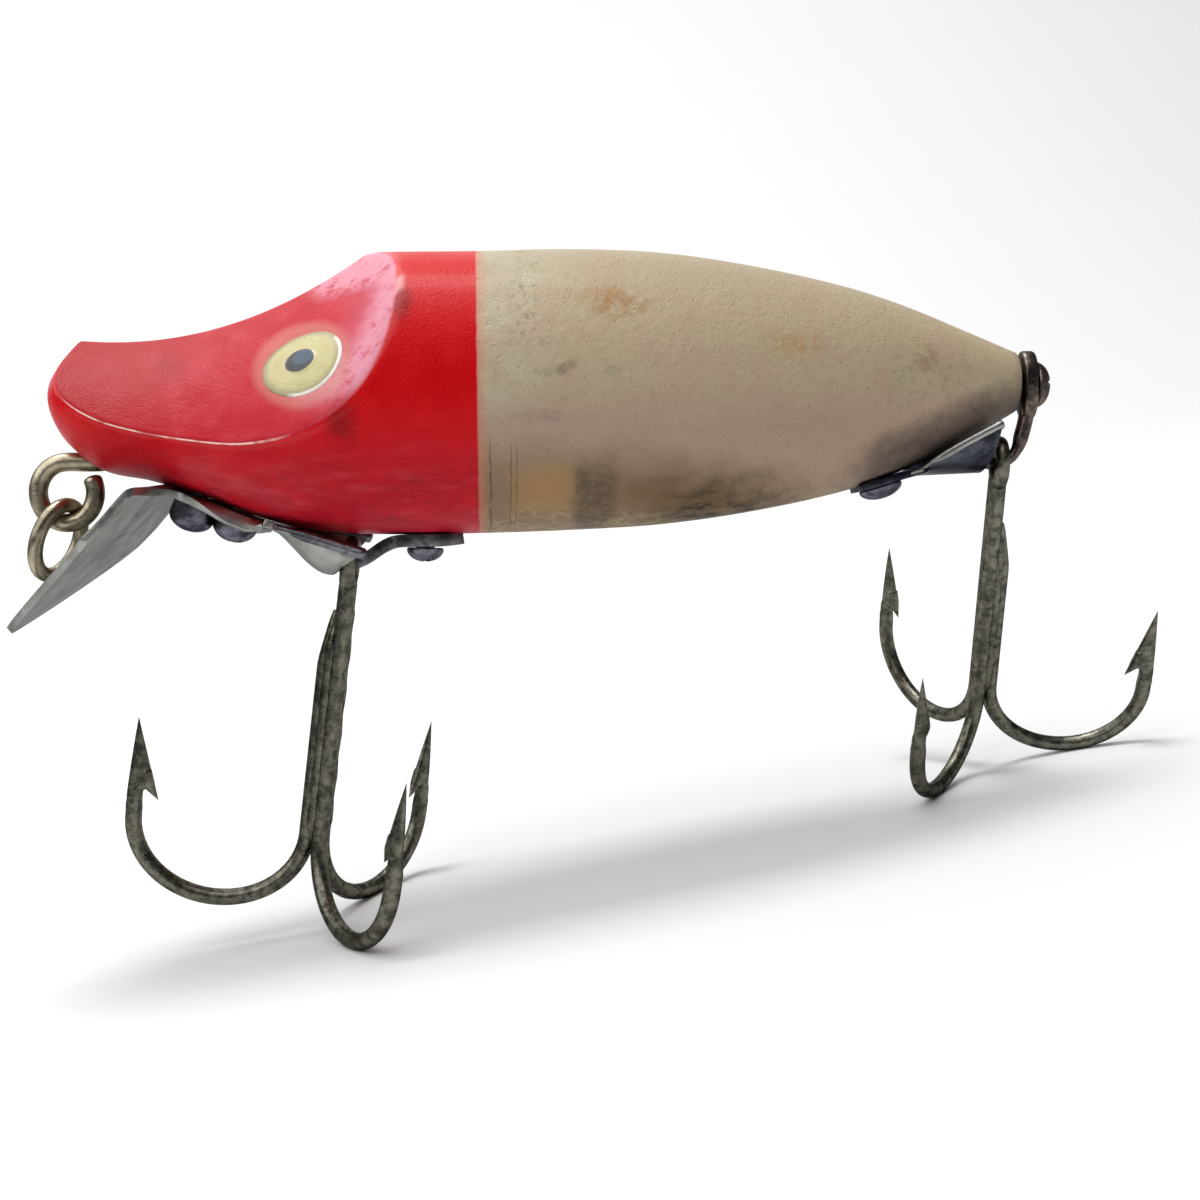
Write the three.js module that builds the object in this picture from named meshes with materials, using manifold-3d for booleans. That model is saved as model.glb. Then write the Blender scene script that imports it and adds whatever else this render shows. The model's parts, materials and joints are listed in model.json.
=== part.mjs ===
// Diving fishing lure: a moulded plug on two treble hooks, in millimetres, +Z up.
// The plug is drawn in its own frame: +X to the tail, +Y to its far side, +Z to its back,
// with the origin on its centre line at the paint line. The whole lure is then turned
// into the stance in which it stands on its hooks.

import * as THREE from 'three';
import { mergeVertices } from 'three/addons/utils/BufferGeometryUtils.js';
import Module from 'manifold-3d';

const wasm = await Module();
wasm.setup();

const degrees = Math.PI / 180;
const gap = 0.3;
const up = new THREE.Vector3(0, 1, 0);

// Stance: the nose is raised and the back leans a little to the far side.
const noseUp = 10.34 * degrees;
const backLean = 4.43 * degrees;

// Plug: place along the length, back height, belly height, half width.
const plugStations = [
  [-27.15, 0.0, -0.5, 0.9],
  [-26.85, 0.7, -1.75, 2.6],
  [-26.0, 2.2, -3.3, 4.2],
  [-24.0, 5.4, -4.75, 5.7],
  [-21.0, 7.1, -5.4, 6.9],
  [-17.5, 8.1, -6.45, 7.6],
  [-14.0, 8.55, -7.85, 8.0],
  [-10.0, 8.8, -8.75, 8.3],
  [-5.0, 8.9, -9.0, 8.45],
  [0.0, 8.95, -9.0, 8.5],
  [6.0, 9.08, -8.98, 8.5],
  [12.0, 8.85, -8.75, 8.25],
  [18.0, 8.0, -8.0, 7.5],
  [24.0, 6.7, -6.75, 6.25],
  [28.0, 5.45, -5.4, 4.95],
  [32.0, 3.85, -3.65, 3.5],
  [36.0, 2.2, -1.35, 1.8],
];
const plugRings = 36;
const plugSides = 36;
const plugRingCrowding = 1.25;

// Face scoops: one waisted round cutter for each side of the head.
const scoopCentre = new THREE.Vector3(-21.5, -26.0, 15.8);
const scoopAxis = new THREE.Vector3(-0.111, 0.606, 0.788).normalize();
const scoopWaist = 27.33;
const scoopFlare = 0.05;
const scoopHalfLength = 20;

// Sheet metal and screws.
const sheetThickness = 0.5;
const screwShankRadius = 0.6;
const screwShankLength = 4.5;

// Diving lip: middle line of the sheet from the rear of its tongue to its tip.
const lipLine = [
  [-13.6, -8.72], [-15.3, -8.08], [-17.2, -7.3], [-18.6, -6.7], [-19.6, -6.4],
  [-20.4, -6.62], [-22.2, -8.4], [-24.4, -10.44], [-30.1, -15.2],
];
const tongueHalfWidth = 2.6;
const lipHalfWidth = 8;
const lipTaperLength = 8.5;
const lipFlareStart = 12.9;
const lipFlareLength = 1.7;
const tongueCurlRadius = 15;

// Front hook cup, pressed in one piece with the lip and its tongue.
const frontCup = {
  front: -13.6, bottomRear: -9.5, rimRear: -7.3, plateHeight: -8.78,
  rimHeight: -10.6, bottomHeight: -11.65, frontHalfWidth: 2.6, rearHalfWidth: 3.5,
};

// Rear hook cup with its own plate and screw.
const rearCup = {
  front: 24.9, shoulder: 28.8, bottomRear: 33.2, rimRear: 33.9, plateHeight: -6.6,
  shoulderHeight: -5.5, rimHeight: -2.95, bottomHeight: -5.35, plateHalfWidth: 1.8, rearHalfWidth: 2.9,
};

// Hook strap: flat screwed part and the narrow tongue through the treble's eye.
const strapLine = [
  [-1.2, -9.58], [-3.4, -9.62], [-5.4, -9.64], [-6.3, -10.1], [-7.3, -10.78], [-8.3, -11.2], [-9.1, -11.18],
];
const strapHalfWidth = 1.5;
const strapTongueHalfWidth = 0.45;

// Tail hanger: round end plate and the bent wire arm that carries the rear treble.
const tailPlate = { x: 36.3, z: 0.22, radius: 2.25, thickness: 0.65 };
const tailArmLine = [
  [36.7, -1.4], [36.5, -2.2], [36.15, -3.1], [35.85, -3.9], [35.35, -4.6], [34.6, -4.95], [33.75, -5.0],
];
const tailArmRadius = 0.4;

// Line tie: a bent wire eye in the chin and a closed link hung in it.
const tieWireRadius = 0.5;
const tieCentre = new THREE.Vector3(-26.15, 0, -6.4);
const tieRadius = 1.9;
const tieRoot = new THREE.Vector3(-22.6, 0, -3.1);
const tieBoreLength = 4.5;
const linkWireRadius = 0.45;
const linkCentre = new THREE.Vector3(-27.05, 0, -9.15);
const linkHalfLength = 2.5;
const linkHalfWidth = 1.52;
const linkLeft = new THREE.Vector3(-0.35, -0.94, 0);
const linkDown = new THREE.Vector3(-0.4, 0, -0.92);

// Treble hooks, at full size; the rear one is a little smaller.
const hook = {
  wire: 0.55, bundle: 0.6, eyeRadius: 1.4, eyeWire: 0.5,
  shank: 18.0, bendWidth: 5.71, bendDepth: 4.93, tipRadius: 12.3, tipHeight: 11.5,
  barbRadius: 10.45, barbHeight: 16.9, notchRadius: 11.4, notchHeight: 15.95, pointThickness: 0.8,
};
const frontTreble = {
  name: 'front_treble', scale: 1.0, singleSide: -1, brazeStart: 3.9,
  eye: [-8.37, 0, -11.25], turn: [5.2, 7.31, -2.52],
};
const rearTreble = {
  name: 'rear_treble', scale: 0.942, singleSide: 1, brazeStart: 6.4,
  eye: [34.58, 0, -4.96], turn: [25.2, -1.62, -6.1],
};

// Finishes.
const finish = (color, roughness, metalness) => new THREE.MeshStandardMaterial({ color, roughness, metalness });
const paintedPlastic = finish(0xb0a98c, 0.35, 0.0);
const brightNickel = finish(0x9b9c98, 0.3, 1.0);
const darkNickel = finish(0x55534f, 0.4, 1.0);
const brassyWire = finish(0x8f8468, 0.35, 1.0);
const bronzedSteel = finish(0x3a342c, 0.45, 1.0);

// Turn a three.js geometry into a solid, and back.
function solid(geometry, matrix) {
  const bare = geometry.index ? geometry : geometry.clone();
  const shape = bare.clone();
  for (const name of Object.keys(shape.attributes)) {
    if (name !== 'position') {
      shape.deleteAttribute(name);
    }
  }
  if (matrix) {
    shape.applyMatrix4(matrix);
  }
  const merged = mergeVertices(shape, 1e-5);
  return new wasm.Manifold(new wasm.Mesh({
    numProp: 3,
    vertProperties: new Float32Array(merged.attributes.position.array),
    triVerts: new Uint32Array(merged.index.array),
  }));
}

function geometryOf(body) {
  const mesh = body.getMesh();
  const geometry = new THREE.BufferGeometry();
  geometry.setAttribute('position', new THREE.BufferAttribute(new Float32Array(mesh.vertProperties), 3));
  geometry.setIndex(new THREE.BufferAttribute(new Uint32Array(mesh.triVerts), 1));
  return geometry;
}

// Move every vertex of a geometry by a rule.
function remap(geometry, rule) {
  const position = geometry.attributes.position;
  const point = new THREE.Vector3();
  for (let i = 0; i < position.count; i += 1) {
    point.fromBufferAttribute(position, i);
    const moved = rule(point);
    position.setXYZ(i, moved.x, moved.y, moved.z);
  }
  return geometry;
}

// Smooth curve through rows of [place, value, value, ...], one value column at a time.
function smoothColumn(rows, column) {
  const slope = (i) => {
    const before = rows[Math.max(i - 1, 0)];
    const after = rows[Math.min(i + 1, rows.length - 1)];
    return (after[column] - before[column]) / (after[0] - before[0]);
  };
  return (place) => {
    let i = 0;
    while (i < rows.length - 2 && place > rows[i + 1][0]) {
      i += 1;
    }
    const width = rows[i + 1][0] - rows[i][0];
    const t = THREE.MathUtils.clamp((place - rows[i][0]) / width, 0, 1);
    const rise = rows[i + 1][column] - rows[i][column];
    const startSlope = slope(i) * width;
    const endSlope = slope(i + 1) * width;
    const bendA = startSlope - rise;
    const bendB = rise - endSlope;
    return rows[i][column] + t * rise + t * (1 - t) * (bendA * (1 - t) + bendB * t);
  };
}

const inPlane = ([x, z]) => new THREE.Vector3(x, 0, z);

// Round wire along stations of { point, radius } that lie in one plane.
function wire(stations, planeNormal, sides) {
  const last = stations.length - 1;
  const frames = stations.map(({ point, radius }, i) => {
    const before = stations[Math.max(i - 1, 0)].point;
    const after = stations[Math.min(i + 1, last)].point;
    const along = after.clone().sub(before).normalize();
    return { point, radius, side: along.clone().cross(planeNormal) };
  });
  const tube = new THREE.CylinderGeometry(1, 1, 1, sides, last);
  return remap(tube, ({ x, y, z }) => {
    const { point, radius, side } = frames[Math.round((0.5 - y) * last)];
    return point.clone().addScaledVector(side, -x * radius).addScaledVector(planeNormal, z * radius);
  });
}

// Bent sheet: place(u, v) is its middle surface, u from 0 to 1 along it and v from -1 to 1 across.
function sheet(lengthSteps, widthSteps, place) {
  const step = 1e-3;
  return remap(new THREE.BoxGeometry(1, 1, 1, lengthSteps, widthSteps, 1), ({ x, y, z }) => {
    const u = x + 0.5;
    const v = y * 2;
    const along = place(u + step, v).sub(place(u - step, v));
    const across = place(u, v + step).sub(place(u, v - step));
    const normal = along.cross(across).normalize();
    return place(u, v).addScaledVector(normal, z * sheetThickness);
  });
}

// Cylinder from a point along a direction.
function bar(start, direction, radius, length, sides) {
  const turn = new THREE.Quaternion().setFromUnitVectors(up, direction);
  const middle = start.clone().addScaledVector(direction, length / 2);
  const matrix = new THREE.Matrix4().compose(middle, turn, new THREE.Vector3(1, 1, 1));
  return solid(new THREE.CylinderGeometry(radius, radius, length, sides), matrix);
}

function mesh(name, body, material) {
  const item = new THREE.Mesh(geometryOf(body), material);
  item.name = name;
  return item;
}

// Screws: the seat is where the head's flat meets the sheet, and out points away from the plug.
const screws = [
  { name: 'chin_screw_front', seat: [-18.12, -7.58], out: [-0.38, -0.925], headRadius: 1.45, headHeight: 1.3 },
  { name: 'chin_screw_rear', seat: [-15.32, -8.66], out: [-0.36, -0.933], headRadius: 1.25, headHeight: 1.05 },
  { name: 'strap_screw', seat: [-3.5, -10.18], out: [-0.03, -1.0], headRadius: 1.2, headHeight: 0.85 },
  { name: 'rear_cup_screw', seat: [26.6, -6.68], out: [0.28, -0.96], headRadius: 1.45, headHeight: 0.85 },
  { name: 'tail_screw', seat: [37.26, 0.22], out: [1.0, 0.0], headRadius: 1.5, headHeight: 1.0 },
].map(({ name, seat, out, headRadius, headHeight }) => (
  { name, seat: inPlane(seat), out: inPlane(out).normalize(), headRadius, headHeight }
));

function makeScrew({ name, seat, out, headRadius, headHeight }) {
  const domeSteps = 4;
  const profile = [new THREE.Vector2(0, -screwShankLength), new THREE.Vector2(screwShankRadius, -screwShankLength + 0.4)];
  profile.push(new THREE.Vector2(screwShankRadius, 0), new THREE.Vector2(headRadius, 0));
  for (let i = 1; i <= domeSteps; i += 1) {
    const angle = (i / domeSteps) * 90 * degrees;
    profile.push(new THREE.Vector2(headRadius * Math.cos(angle), headHeight * Math.sin(angle)));
  }
  profile[profile.length - 1].x = 0;
  const turn = new THREE.Quaternion().setFromUnitVectors(up, out);
  const matrix = new THREE.Matrix4().compose(seat, turn, new THREE.Vector3(1, 1, 1));
  return mesh(name, solid(new THREE.LatheGeometry(profile, 14), matrix), darkNickel);
}

// A hole around a screw's shank, through the sheet or into the plug.
const screwHole = ({ seat, out }) => (
  bar(seat.clone().addScaledVector(out, 0.1), out.clone().negate(), screwShankRadius + gap, screwShankLength + 0.6, 12)
);

// Plug
function makePlug() {
  const back = smoothColumn(plugStations, 1);
  const belly = smoothColumn(plugStations, 2);
  const halfWidth = smoothColumn(plugStations, 3);
  const nose = plugStations[0][0];
  const length = plugStations[plugStations.length - 1][0] - nose;
  const skin = remap(new THREE.CylinderGeometry(1, 1, 1, plugSides, plugRings), ({ x, y, z }) => {
    const place = nose + length * Math.pow(y + 0.5, plugRingCrowding);
    const middle = (back(place) + belly(place)) / 2;
    const halfHeight = (back(place) - belly(place)) / 2;
    return new THREE.Vector3(place, halfWidth(place) * z, middle + halfHeight * x);
  });
  let plug = solid(skin);
  for (const side of [1, -1]) {
    plug = plug.subtract(scoopCutter(side));
  }
  for (const screw of screws) {
    plug = plug.subtract(screwHole(screw));
  }
  const tieDirection = tieEntry().sub(tieRoot).normalize();
  const tieBoreStart = tieRoot.clone().addScaledVector(tieDirection, -gap);
  plug = plug.subtract(bar(tieBoreStart, tieDirection, tieWireRadius + gap, tieBoreLength, 12));
  return mesh('body', plug.subtract(cupSeatCutter()), paintedPlastic);
}

// Flat seat for the rear cup's plate, clear of the sheet by the usual gap
function cupSeatCutter() {
  const { front, shoulder, plateHeight, shoulderHeight, plateHalfWidth } = rearCup;
  const start = new THREE.Vector3(front, 0, plateHeight);
  const end = new THREE.Vector3(shoulder, 0, shoulderHeight);
  const depth = 3;
  const length = start.distanceTo(end) + 2 * gap;
  const along = end.clone().sub(start).normalize();
  const upward = new THREE.Vector3(-along.z, 0, along.x);
  const lift = sheetThickness / 2 + gap - depth / 2;
  const centre = start.add(end).divideScalar(2).addScaledVector(upward, lift);
  const across = upward.clone().cross(along);
  const matrix = new THREE.Matrix4().makeBasis(along, across, upward).setPosition(centre);
  return solid(new THREE.BoxGeometry(length, 2 * (plateHalfWidth + 2 * gap), depth), matrix);
}

function scoopCutter(side) {
  const steps = 12;
  const profile = [new THREE.Vector2(0, -scoopHalfLength)];
  for (let i = 0; i <= steps; i += 1) {
    const t = (2 * i / steps - 1) * scoopHalfLength;
    profile.push(new THREE.Vector2(scoopWaist + scoopFlare * t * t / 2, t));
  }
  profile.push(new THREE.Vector2(0, scoopHalfLength));
  const centre = scoopCentre.clone().multiply(new THREE.Vector3(1, side, 1));
  const axis = scoopAxis.clone().multiply(new THREE.Vector3(1, side, 1));
  const turn = new THREE.Quaternion().setFromUnitVectors(up, axis);
  const matrix = new THREE.Matrix4().compose(centre, turn, new THREE.Vector3(1, 1, 1));
  return solid(new THREE.LatheGeometry(profile, 64), matrix);
}

// Diving lip with its tongue and the front hook cup
function makeLip() {
  const line = new THREE.CatmullRomCurve3(lipLine.map(inPlane));
  const total = line.getLength();
  const blade = sheet(24, 6, (u, v) => {
    const at = THREE.MathUtils.clamp(u, 0, 1);
    const point = line.getPointAt(at);
    const along = line.getTangentAt(at);
    const chinSide = new THREE.Vector3(along.z, 0, -along.x);
    const toTip = total * (1 - u);
    const flare = THREE.MathUtils.smoothstep(lipFlareStart + lipFlareLength - toTip, 0, lipFlareLength);
    const taper = Math.pow(THREE.MathUtils.clamp(toTip / lipTaperLength, 0.012, 1), 0.8);
    const halfWidth = THREE.MathUtils.lerp(tongueHalfWidth, lipHalfWidth, flare) * taper;
    const y = v * halfWidth;
    const curl = (flare - 1) * y * y / (2 * tongueCurlRadius);
    return point.addScaledVector(chinSide, curl).add(new THREE.Vector3(total * Math.min(0, 1 - u), y, 0));
  });
  const c = frontCup;
  const cup = sheet(10, 10, (u, v) => {
    const angle = v * 90 * degrees;
    const fall = Math.pow(Math.sin(THREE.MathUtils.clamp(u, 0, 1) * 90 * degrees), 1.7);
    const rim = THREE.MathUtils.lerp(c.plateHeight, c.rimHeight, u);
    const bottom = Math.min(THREE.MathUtils.lerp(c.plateHeight, c.bottomHeight, fall), rim - 0.02 * u);
    const rear = THREE.MathUtils.lerp(c.rimRear, c.bottomRear, Math.cos(angle));
    const halfWidth = THREE.MathUtils.lerp(c.frontHalfWidth, c.rearHalfWidth, u);
    return new THREE.Vector3(
      THREE.MathUtils.lerp(c.front, rear, u),
      halfWidth * Math.sin(angle),
      rim - (rim - bottom) * Math.cos(angle),
    );
  });
  let lip = solid(blade).add(solid(cup));
  for (const screw of screws.slice(0, 2)) {
    lip = lip.subtract(screwHole(screw));
  }
  return mesh('diving_lip', lip, brightNickel);
}

// Rear hook cup
function makeRearCup() {
  const c = rearCup;
  const cup = sheet(14, 10, (u, v) => {
    const angle = v * 90 * degrees;
    const rear = THREE.MathUtils.lerp(c.rimRear, c.bottomRear, Math.cos(angle));
    const x = THREE.MathUtils.lerp(c.front, rear, u);
    const along = THREE.MathUtils.clamp((x - c.shoulder) / (c.bottomRear - c.shoulder), 0, 1.2);
    const plate = THREE.MathUtils.mapLinear(x, c.front, c.shoulder, c.plateHeight, c.shoulderHeight);
    const bottom = THREE.MathUtils.lerp(Math.min(plate, c.shoulderHeight), c.bottomHeight, Math.min(along, 1));
    const rim = THREE.MathUtils.lerp(Math.min(plate, c.shoulderHeight), c.rimHeight, Math.pow(along, 0.85));
    const widen = THREE.MathUtils.smoothstep(x, c.shoulder - 1.6, c.shoulder + 1.6);
    const halfWidth = THREE.MathUtils.lerp(c.plateHalfWidth, c.rearHalfWidth, widen);
    return new THREE.Vector3(x, halfWidth * Math.sin(angle), rim - (rim - bottom) * Math.cos(angle));
  });
  return mesh('rear_hook_cup', solid(cup).subtract(screwHole(screws[3])), brightNickel);
}

// Hook strap
function makeStrap() {
  const line = new THREE.CatmullRomCurve3(strapLine.map(inPlane));
  const strap = sheet(16, 4, (u, v) => {
    const point = line.getPointAt(THREE.MathUtils.clamp(u, 0, 1));
    const narrow = THREE.MathUtils.smoothstep(u, 0.5, 0.72);
    const roundEnd = Math.sqrt(Math.max(0.15, 1 - Math.pow(Math.max(0, 1 - u / 0.12), 2)));
    const halfWidth = THREE.MathUtils.lerp(strapHalfWidth * roundEnd, strapTongueHalfWidth, narrow);
    return point.add(new THREE.Vector3(Math.min(u, 0) - Math.max(u - 1, 0), -v * halfWidth, 0));
  });
  return mesh('hook_strap', solid(strap).subtract(screwHole(screws[2])), darkNickel);
}

// Tail hanger
function makeTailHanger() {
  const { x, z, radius, thickness } = tailPlate;
  const seat = new THREE.Vector3(x, 0, z);
  const outward = new THREE.Vector3(1, 0, 0);
  const curve = new THREE.CatmullRomCurve3(tailArmLine.map(inPlane));
  const arm = wire(
    curve.getPoints(12).map((point) => ({ point, radius: tailArmRadius })),
    new THREE.Vector3(0, 1, 0),
    8,
  );
  const hanger = bar(seat, outward, radius, thickness, 24).add(solid(arm));
  return mesh('tail_hanger', hanger.subtract(screwHole(screws[4])), darkNickel);
}

// Line tie eye: from its root in the chin, round the loop and back up towards the chin
const tiePoint = (angle) => (
  new THREE.Vector3(Math.cos(angle), 0, Math.sin(angle)).multiplyScalar(tieRadius).add(tieCentre)
);

function tieEntry() {
  return tiePoint(62 * degrees);
}

function makeTieEye() {
  const loopSteps = 14;
  const stations = [{ point: tieRoot, radius: tieWireRadius }];
  for (let i = 0; i <= loopSteps; i += 1) {
    const angle = THREE.MathUtils.lerp(62, 384, i / loopSteps) * degrees;
    stations.push({ point: tiePoint(angle), radius: tieWireRadius });
  }
  return mesh('line_tie_eye', solid(wire(stations, new THREE.Vector3(0, 1, 0), 8)), brassyWire);
}

function makeTieLink() {
  const ring = remap(new THREE.TorusGeometry(1, linkWireRadius, 8, 20), (point) => {
    const angle = Math.atan2(point.y, point.x);
    const wireX = point.x - Math.cos(angle) + linkHalfWidth * Math.cos(angle);
    const wireY = point.y - Math.sin(angle) + linkHalfLength * Math.sin(angle);
    return new THREE.Vector3(wireX, wireY, point.z);
  });
  const left = linkLeft.clone().normalize();
  const down = linkDown.clone().normalize();
  const across = left.clone().cross(down).normalize();
  const squareLeft = down.clone().cross(across).normalize();
  const matrix = new THREE.Matrix4().makeBasis(squareLeft, down, across).setPosition(linkCentre);
  return mesh('line_tie_link', solid(ring, matrix), brassyWire);
}

// One hook of a treble: its wire and its barbed point, in the upright plane at the given angle
function makeHook(angle, axisX, startHeight, taperStart) {
  const h = hook;
  const outward = new THREE.Vector3(Math.cos(angle), Math.sin(angle), 0);
  const place = (radius, height) => (
    new THREE.Vector3(axisX, 0, -height).addScaledVector(outward, radius)
  );
  const planeNormal = new THREE.Vector3(-Math.sin(angle), Math.cos(angle), 0);
  const bendSteps = 10;
  const stations = [];
  if (taperStart) {
    stations.push({ point: place(h.bundle * 0.6, startHeight), radius: h.wire * 0.45 });
    stations.push({ point: place(h.bundle, startHeight + 1.2), radius: h.wire });
  } else {
    stations.push({ point: place(h.bundle, startHeight), radius: h.wire });
  }
  for (let i = 0; i <= bendSteps; i += 1) {
    const turn = (i / bendSteps) * 180 * degrees;
    const radius = h.bundle + h.bendWidth * (1 - Math.cos(turn));
    stations.push({ point: place(radius, h.shank + h.bendDepth * Math.sin(turn)), radius: h.wire });
  }
  const limbRadius = h.bundle + 2 * h.bendWidth;
  const limbShare = (h.shank - h.notchHeight - 0.5) / (h.shank - h.tipHeight);
  const limbTop = THREE.MathUtils.lerp(limbRadius, h.tipRadius, limbShare);
  stations.push({ point: place(limbTop, h.notchHeight + 0.5), radius: h.wire });
  const outline = new THREE.Shape([
    new THREE.Vector2(h.tipRadius, -h.tipHeight),
    new THREE.Vector2(h.barbRadius, -h.barbHeight),
    new THREE.Vector2(h.notchRadius, -h.notchHeight),
    new THREE.Vector2(limbTop - 0.3, -h.notchHeight - 1.1),
    new THREE.Vector2(limbTop + 0.4, -h.notchHeight - 1.1),
    new THREE.Vector2(limbTop + 0.5, -h.notchHeight),
  ]);
  const point = new THREE.ExtrudeGeometry(outline, { depth: 1, steps: 1, bevelEnabled: false });
  remap(point, ({ x, y, z }) => {
    const slimness = THREE.MathUtils.clamp((-y - h.tipHeight) / (h.notchHeight - h.tipHeight), 0.12, 1);
    return place(x, -y).addScaledVector(planeNormal, (0.5 - z) * h.pointThickness * slimness);
  });
  return solid(wire(stations, planeNormal, 8)).add(solid(point));
}

function makeTreble({ name, scale, singleSide, brazeStart, eye, turn }) {
  const h = hook;
  const singleAngle = singleSide > 0 ? 0 : 180 * degrees;
  const axisX = singleSide * h.bundle / 2;
  const ringTurn = new THREE.Matrix4().makeRotationY(90 * degrees);
  let body = solid(new THREE.TorusGeometry(h.eyeRadius, h.eyeWire, 8, 20), ringTurn);
  for (const side of [1, -1]) {
    body = body.add(makeHook(singleAngle + side * 120 * degrees, axisX, h.eyeRadius - 0.1, false));
  }
  body = body.add(makeHook(singleAngle, axisX, brazeStart / scale, true));
  const item = mesh(name, body, bronzedSteel);
  item.scale.setScalar(scale);
  item.position.set(...eye);
  item.rotation.set(turn[0] * degrees, turn[1] * degrees, turn[2] * degrees, 'XYZ');
  return item;
}

// Whole lure, turned into its stance with its feet on the floor and its box centred on the origin
const posed = new THREE.Group();
posed.rotation.set(-backLean, noseUp, 0, 'ZYX');
posed.add(makePlug(), makeLip(), makeRearCup(), makeStrap(), makeTailHanger());
posed.add(...screws.map(makeScrew));
posed.add(makeTieEye(), makeTieLink(), makeTreble(frontTreble), makeTreble(rearTreble));

const lure = new THREE.Group();
lure.add(posed);
lure.updateMatrixWorld(true);
const box = new THREE.Box3().setFromObject(lure, true);
const middle = box.getCenter(new THREE.Vector3());
posed.position.set(-middle.x, -middle.y, -box.min.z);
lure.updateMatrixWorld(true);

export default lure;
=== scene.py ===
"""Looks of an old painted diving lure that stands on its two treble hooks.

Shapes are worked out in the plug's own frame, in millimetres: +X to the tail, +Y to the far
side, +Z to the back, with the origin on the centre line at the paint line. The stance then
turns and moves each finished mesh into the row's frame, in metres.
"""

from __future__ import annotations

import json
import logging
import math
from collections.abc import Callable, Iterable, Sequence
from dataclasses import dataclass
from enum import Enum
from functools import cache

import bmesh
import bpy
import numpy as np
from mathutils import Euler, Matrix, Vector


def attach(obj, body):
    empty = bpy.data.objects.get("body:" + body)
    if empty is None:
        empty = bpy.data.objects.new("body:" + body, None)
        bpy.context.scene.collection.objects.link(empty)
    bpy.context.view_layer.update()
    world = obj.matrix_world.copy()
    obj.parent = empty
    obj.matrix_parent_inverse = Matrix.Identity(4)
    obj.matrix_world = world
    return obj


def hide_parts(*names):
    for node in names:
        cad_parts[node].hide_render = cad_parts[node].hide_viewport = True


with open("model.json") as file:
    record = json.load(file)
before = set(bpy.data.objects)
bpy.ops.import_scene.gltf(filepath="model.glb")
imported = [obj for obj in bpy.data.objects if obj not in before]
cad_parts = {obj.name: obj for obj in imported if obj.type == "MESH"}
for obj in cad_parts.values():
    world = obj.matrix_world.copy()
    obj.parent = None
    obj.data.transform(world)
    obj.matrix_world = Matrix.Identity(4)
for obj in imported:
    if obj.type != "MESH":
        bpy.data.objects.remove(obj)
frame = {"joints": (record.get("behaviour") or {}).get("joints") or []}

LOG = logging.getLogger("lure")
MM = 0.001
SHEET = 0.5
LURE = "lure"
Triple = tuple[float, float, float]
Pair = tuple[float, float]
Colour = tuple[float, float, float, float]
Array = np.ndarray
Mesh = bmesh.types.BMesh
Material = bpy.types.Material


# Stance


@dataclass(frozen=True)
class Stance:
    """How the plug's own frame stands in the row's frame."""

    nose_up: float = 10.34
    back_lean: float = 4.43
    front_eye: Triple = (-8.37, 0.0, -11.25)
    front_joint: str = "front_hook_swing"

    def turn(self) -> Euler:
        """The plug's turn, nose up and back leaning to the far side."""
        return Euler((-math.radians(self.back_lean), math.radians(self.nose_up), 0.0), "XYZ")

    def origin(self) -> Vector:
        """The plug frame's origin in the row's frame, found from the front hook's hinge.

        Returns:
            The origin, in metres.
        """
        joints = {joint["name"]: joint for joint in frame["joints"]}
        hinge = Vector(joints[self.front_joint]["pos_m"])
        return hinge - self.turn().to_matrix() @ (Vector(self.front_eye) * MM)

    def matrix(self) -> Matrix:
        """The whole move from plug millimetres to row metres."""
        return Matrix.LocRotScale(self.origin(), self.turn().to_quaternion(), Vector((MM, MM, MM)))


STANCE = Stance()


# Shader helpers


def math_operator(operation: str, swapped: bool = False) -> Callable[[Signal, Signal | float], Signal]:
    """An operator for signals that adds one Math node.

    Args:
        operation: The Math node's operation.
        swapped: Whether the signal is the second input, as in 1 - mask.

    Returns:
        The operator.
    """
    def operator(self: Signal, other: Signal | float) -> Signal:
        """The Math node's result."""
        first, second = (other, self) if swapped else (self, other)
        return self.bench.node("ShaderNodeMath", {"operation": operation}, {0: first, 1: second})

    return operator


class Signal:
    """One output socket, with arithmetic that adds Math nodes; | joins masks by the larger one."""

    def __init__(self, bench: NodeBench, socket: bpy.types.NodeSocket) -> None:
        """Keep the socket and the bench that its nodes stand on."""
        self.bench = bench
        self.socket = socket

    __add__ = __radd__ = math_operator("ADD")
    __sub__ = math_operator("SUBTRACT")
    __rsub__ = math_operator("SUBTRACT", swapped=True)
    __mul__ = __rmul__ = math_operator("MULTIPLY")
    __truediv__ = math_operator("DIVIDE")
    __rtruediv__ = math_operator("DIVIDE", swapped=True)
    __pow__ = math_operator("POWER")
    __rpow__ = math_operator("POWER", swapped=True)
    __or__ = __ror__ = math_operator("MAXIMUM")

    def size(self) -> Signal:
        """The value without its sign."""
        return self.bench.node("ShaderNodeMath", {"operation": "ABSOLUTE"}, {0: self})

    def between(self, low: float, high: float) -> Signal:
        """Smooth step from 0 at one value to 1 at another.

        Args:
            low: Where the step is 0.
            high: Where it is 1, above or below low.

        Returns:
            The step, 0 to 1.
        """
        settings = {"interpolation_type": "SMOOTHSTEP", "clamp": True}
        if low < high:
            return self.bench.node("ShaderNodeMapRange", settings, {0: self, 1: low, 2: high})
        return self.bench.node("ShaderNodeMapRange", settings, {0: self, 1: high, 2: low, 3: 1.0, 4: 0.0})


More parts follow.
